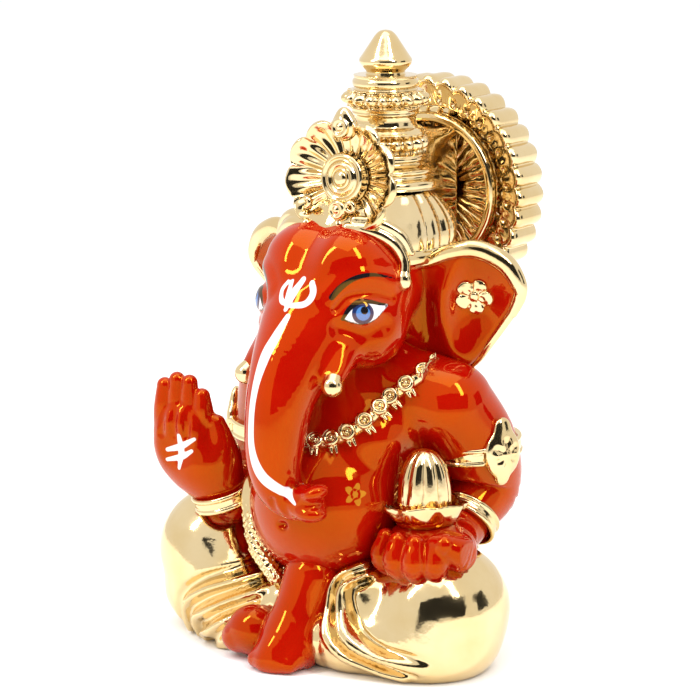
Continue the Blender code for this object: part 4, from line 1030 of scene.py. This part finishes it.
def pendant_field(p):
    hang = rosette_place(0, -5.0, 2.6)
    field = hoop(p, hang, (0, -1, 0), 1.15, 0.5, 0.7)
    field = join(field, ball(p, hang, (0.75, 0.9, 0.75)), 0.3)
    field = join(field, ball(p, hang + spot(0, 0.3, -2.6), (0.85, 0.85, 1.0)), 0.4)
    field = join(field, ball(p, hang + spot(0, 0.3, -4.0), (1.25, 1.1, 1.05)), 0.3)
    q = mirrored(p)
    field = join(field, hoop(q, hang + spot(2.35, 0.2, 0.6), (0.2, -1, 0), 0.7, 0.42, 0.55), 0.25)
    return join(field, ball(q, hang + spot(1.3, 0.4, -3.9), (0.6, 0.6, 0.6)), 0.25)


# ---- Halo ----
def make_halo():
    low, high = corners("halo_ring")
    back = high[1]
    frame_back = facing_front((0, back, HALO[2]))
    inner = half_width("halo_panel") + 0.3
    outer = HALO_RADIUS
    deep = high[1] - low[1]

    def flutes(radius, height, turn, share):
        lobe = np.abs(np.cos(16 * turn)) ** 0.8
        rim = np.clip((radius - inner - 1.2) / 2.0, 0, 1)
        radius = radius - 1.05 * (1 - lobe) * rim
        front = np.clip((height - deep * 0.5) / 1.0, 0, 1) * np.clip((radius - inner - 0.4) / 0.8, 0, 1)
        fine = 0.12 * np.cos(64 * turn) * np.clip(1 - rim, 0, 1)
        return radius, height - (0.75 * (1 - lobe) + fine) * front

    ring = lathe("halo_ring_visual", (
        (inner, 0.3), (inner, deep - 3.4), (inner + 0.5, deep - 2.6), (inner + 2.2, deep - 1.7),
        (outer - 1.6, deep - 0.9), (outer - 0.9, deep - 0.25), (outer - 0.35, deep - 0.5),
        (outer, deep - 1.4), (outer, deep - 4.0), (outer - 0.1, 1.2), (outer - 0.8, 0.2), (inner + 0.6, 0.0),
    ), frame_back, 640, flutes, closed=True, smooth=4)
    gild(ring, "halo_ring")

    arch_low, arch_high = corners("halo_arch")
    wide, top, foot = half_width("halo_arch"), back - arch_low[1], back - arch_high[1]
    arch = lathe("halo_arch_visual", (
        (wide, foot), (wide, top - 0.8), (wide - 0.35, top - 0.15), (wide - 0.85, top),
        (wide - 1.35, top - 0.15), (wide - 1.7, top - 0.8), (wide - 1.7, foot),
    ), frame_back, 192, None, closed=True, smooth=4)
    gild(arch, "halo_arch")

    thick = back - corners("halo_panel")[0][1]

    def ribs(radius, height, turn, share):
        front = np.clip((share - 0.5) * 10, 0, 1)
        out = np.clip(radius / 3 - 1, 0, 1)
        rib = np.abs(np.cos(16 * turn)) ** 0.7
        curl = np.cos(radius * 1.9 + 2.2 * np.cos(8 * turn))
        return radius, height + front * out * (0.42 * (rib - 0.5) + 0.09 * curl)

    panel = lathe("halo_panel_visual", (
        (0, 0), (inner * 0.5, 0), (inner * 0.96, 0), (inner, 0.3), (inner, thick - 0.8),
        (inner * 0.96, thick - 0.5), (inner * 0.75, thick - 0.6), (inner * 0.5, thick - 0.6),
        (inner * 0.25, thick - 0.5), (0, thick - 0.5),
    ), frame_back, 384, ribs)
    gild(panel, "halo_panel")


def make_bowl():
    """The bowl with its leafy rim, and the pleated sweet in it."""
    low, high = corners("sweet_bowl")
    wide, tall = half_width("sweet_bowl") + 0.5, high[2] - low[2]

    def leaf(radius, height, turn, share):
        upper = np.clip(height / tall, 0, 1) ** 2
        height = height + 0.45 * upper * np.cos(2 * turn + 1.2)
        return radius * (1 + 0.05 * upper * np.cos(9 * turn)), height

    bowl = lathe("sweet_bowl_visual", (
        (0, 0.2), (wide * 0.45, 0.2), (wide * 0.62, 0.7), (wide * 0.82, tall * 0.42),
        (wide * 0.96, tall * 0.8), (wide * 1.0, tall), (wide * 0.95, tall * 1.03), (wide * 0.84, tall * 0.78),
        (wide * 0.5, tall * 0.5), (0, tall * 0.45),
    ), standing(BOWL[0], BOWL[1], low[2]), 144, leaf)
    gild(bowl, "sweet_bowl")
    low, high = corners("sweet")
    wide, tall = half_width("sweet"), high[2] - low[2]

    def folds(radius, height, turn, share):
        part = np.clip(share * 3, 0, 1) * np.clip((1 - share) * 2.2, 0, 1)
        return radius * (1 - 0.13 * part * (1 - np.abs(np.cos(4.5 * turn)) ** 0.8)), height

    dome = (
        (0.7, 0), (0.98, 0.2), (1, 0.34), (0.97, 0.5), (0.88, 0.68), (0.70, 0.84), (0.44, 0.95), (0.2, 0.995),
        (0, 1),
    )
    place = standing(*middle("sweet")[:2], low[2])
    sweet = lathe("sweet_visual", scaled(dome, wide, tall), place, 180, folds)
    gild(sweet, "sweet")


def web_field(p):
    """A rounded block that ties the halo to the crown."""
    low, high = corners("halo_web")
    centre = (low + high) / 2
    size = (high - low) / 2
    q = np.abs(p - centre) - (size - 1.2)
    return length(np.maximum(q, 0)) + np.minimum(q.max(axis=1), 0) - 1.0


def shape(name, field, step, nodes, finish=GOLD, slot="gold_plate", grow=1.0):
    """Sculpts one piece in the box of the nodes it stands for, grown by so many millimetres."""
    boxes = [corners(node) for node in nodes]
    low = np.min([box[0] for box in boxes], axis=0) - grow
    high = np.max([box[1] for box in boxes], axis=0) + grow
    return settle(sculpt(name, field, low, high, step), finish, slot, *nodes)


def build():
    red = "red_glaze"
    body = shape("body", body_field, 0.36, ("torso", "left_arm", "right_arm"), BODY, red)
    paint_chest(body)
    head = shape("head", head_field, 0.30, ("head_and_trunk",), FACE, red)
    paint_face(head)
    shape("ears", ear_field, 0.28, ("left_ear", "right_ear"), GLAZE, red)
    shape("ear_trims", ear_trim_field, 0.22, ("left_ear_trim", "right_ear_trim"), grow=9)
    shape("ear_flowers", flower_field, 0.14, ("left_ear_flower", "right_ear_flower"), grow=3)
    shape("feet", feet_field, 0.25, ("front_foot", "tucked_foot"), GLAZE, red)
    wrap = ("seat_wrap", "left_leg_wrap", "right_leg_wrap", "cloth_pleats")
    shape("dhoti", wrap_field, 0.34, wrap)
    shape("left_hand_visual", left_hand_field, 0.24, ("left_hand",), GLAZE, red)
    hand = shape("right_hand_visual", right_hand_field, 0.24, ("right_hand",), PALM, red)
    paint_palm(hand)
    left_cuff = bracelet_field(LEFT_WRIST + spot(0, 0.4, 0), LEFT_WRIST - LEFT_ARM[2])
    right_cuff = bracelet_field(HAND_WRIST + spot(0.4, 0.2, -0.8), (-0.22, -0.25, 1))
    for name, field, step, *nodes in (
        ("left_armlet_visual", armlet_field(LEFT_ARM, 1), 0.18, "left_armlet"),
        ("right_armlet_visual", armlet_field(RIGHT_ARM, -1), 0.18, "right_armlet"),
        ("left_bracelet_visual", left_cuff, 0.18, "left_bracelet"),
        ("right_bracelet_visual", right_cuff, 0.18, "right_bracelet"),
        ("necklace_visual", necklace_field(necklace_places()), 0.14, "necklace"),
        ("sash", sash_field, 0.16, "sash_end"),
        ("tusk_tips", tusk_field, 0.16, "left_tusk", "right_tusk"),
        ("crown_cap_visual", cap_field, 0.26, "crown_cap"),
        ("crown_drops", drop_field, 0.16, "left_crown_drop", "right_crown_drop"),
        ("rosette_crest_visual", crest_field, 0.15, "rosette_crest"),
        ("rosette_pendant_visual", pendant_field, 0.15, "rosette_pendant"),
        ("halo_web_visual", web_field, 0.4, "halo_web"),
    ):
        shape(name, field, step, nodes)
    make_tiers()
    make_rosette()
    make_halo()
    make_bowl()


# ---- Studio ----
VIEW = (35, 12)  # degrees round from the front, and up: the photo's viewing angle
DISTANCE = 0.48  # in metres, as the floor and the lights
LENS = 151.3
TARGET = (-0.13, 0.09, 48.86)  # in millimetres
FLOOR_REACH = 4.0
STRIP = {"size": 0.08, "tall": 0.35}
CARD_SHADE = 0.012


def area_light(name, place, aim, size, power, tall=None):
    light = bpy.data.lights.new(name, "AREA")
    light.shape = "RECTANGLE"
    light.size = size
    light.size_y = tall or size
    light.energy = power
    holder = placed(name, light)
    holder.location = place
    holder.rotation_euler = (Vector(aim) - Vector(place)).to_track_quat("-Z", "Y").to_euler()


def bearing(azimuth, elevation):
    """The way out from the figure, so many degrees round from its front and so many up."""
    a, e = math.radians(azimuth), math.radians(elevation)
    return Vector((math.sin(a) * math.cos(e), -math.cos(a) * math.cos(e), math.sin(e)))


def around(azimuth, elevation, distance, height=0.05):
    return Vector((0, 0, height)) + bearing(azimuth, elevation) * distance


def plain_finish(name, shade, roughness):
    material, nodes, _ = nodes_of(name)
    shader = nodes["Principled BSDF"]
    shader.inputs["Base Color"].default_value = (shade, shade, shade, 1)
    shader.inputs["Roughness"].default_value = roughness
    return material, shader


def card(name, azimuth, elevation, distance, wide, tall):
    """A dark board out of view, which the gold reflects."""
    mesh = bpy.data.meshes.new(name)
    x, y = wide / 2, tall / 2
    mesh.from_pydata([(-x, -y, 0), (x, -y, 0), (x, y, 0), (-x, y, 0)], [], [(0, 1, 2, 3)])
    board = placed(name, mesh)
    board.location = around(azimuth, elevation, distance)
    board.rotation_euler = (Vector((0, 0, 0.05)) - board.location).to_track_quat("Z", "Y").to_euler()
    mesh.materials.append(plain_finish(name + "_finish", CARD_SHADE, 1.0)[0])
    board.visible_camera = False
    board.visible_shadow = False
    board.visible_diffuse = False


def make_studio():
    scene = bpy.context.scene
    mesh = bpy.data.meshes.new("floor")
    r = FLOOR_REACH
    mesh.from_pydata([(-r, -r, 0), (r, -r, 0), (r, r, 0), (-r, r, 0)], [], [(0, 1, 2, 3)])
    material, shader = plain_finish("floor_finish", 0.96, 0.9)
    shader.inputs["Specular IOR Level"].default_value = 0.0
    mesh.materials.append(material)
    placed("floor", mesh)

    world = bpy.data.worlds.new("studio")
    scene.world = world
    world.use_nodes = True
    world.node_tree.nodes["Background"].inputs["Color"].default_value = (1, 1, 1, 1)
    world.node_tree.nodes["Background"].inputs["Strength"].default_value = 1.0
    area_light("top_box", (0.0, -0.05, 0.75), (0, 0, 0.04), 0.55, 1.6)
    area_light("left_strip", around(-30, 48, 0.6), (0, 0, 0.06), power=1.6, **STRIP)
    area_light("right_strip", around(75, 50, 0.6), (0, 0, 0.06), power=1.4, **STRIP)
    card("dark_card_front", 45, 22, 0.9, 1.45, 0.66)
    card("dark_card_right", 118, 14, 0.9, 0.35, 0.36)

    camera = bpy.data.cameras.new("camera")
    camera.lens = LENS
    camera.sensor_width = 36
    camera.clip_start = 0.01
    holder = placed("camera", camera)
    back = bearing(*VIEW)
    holder.location = Vector(TARGET) * MM + back * DISTANCE
    holder.rotation_euler = back.to_track_quat("Z", "Y").to_euler()
    scene.camera = holder
    scene.view_settings.view_transform = "Standard"


build()
make_studio()
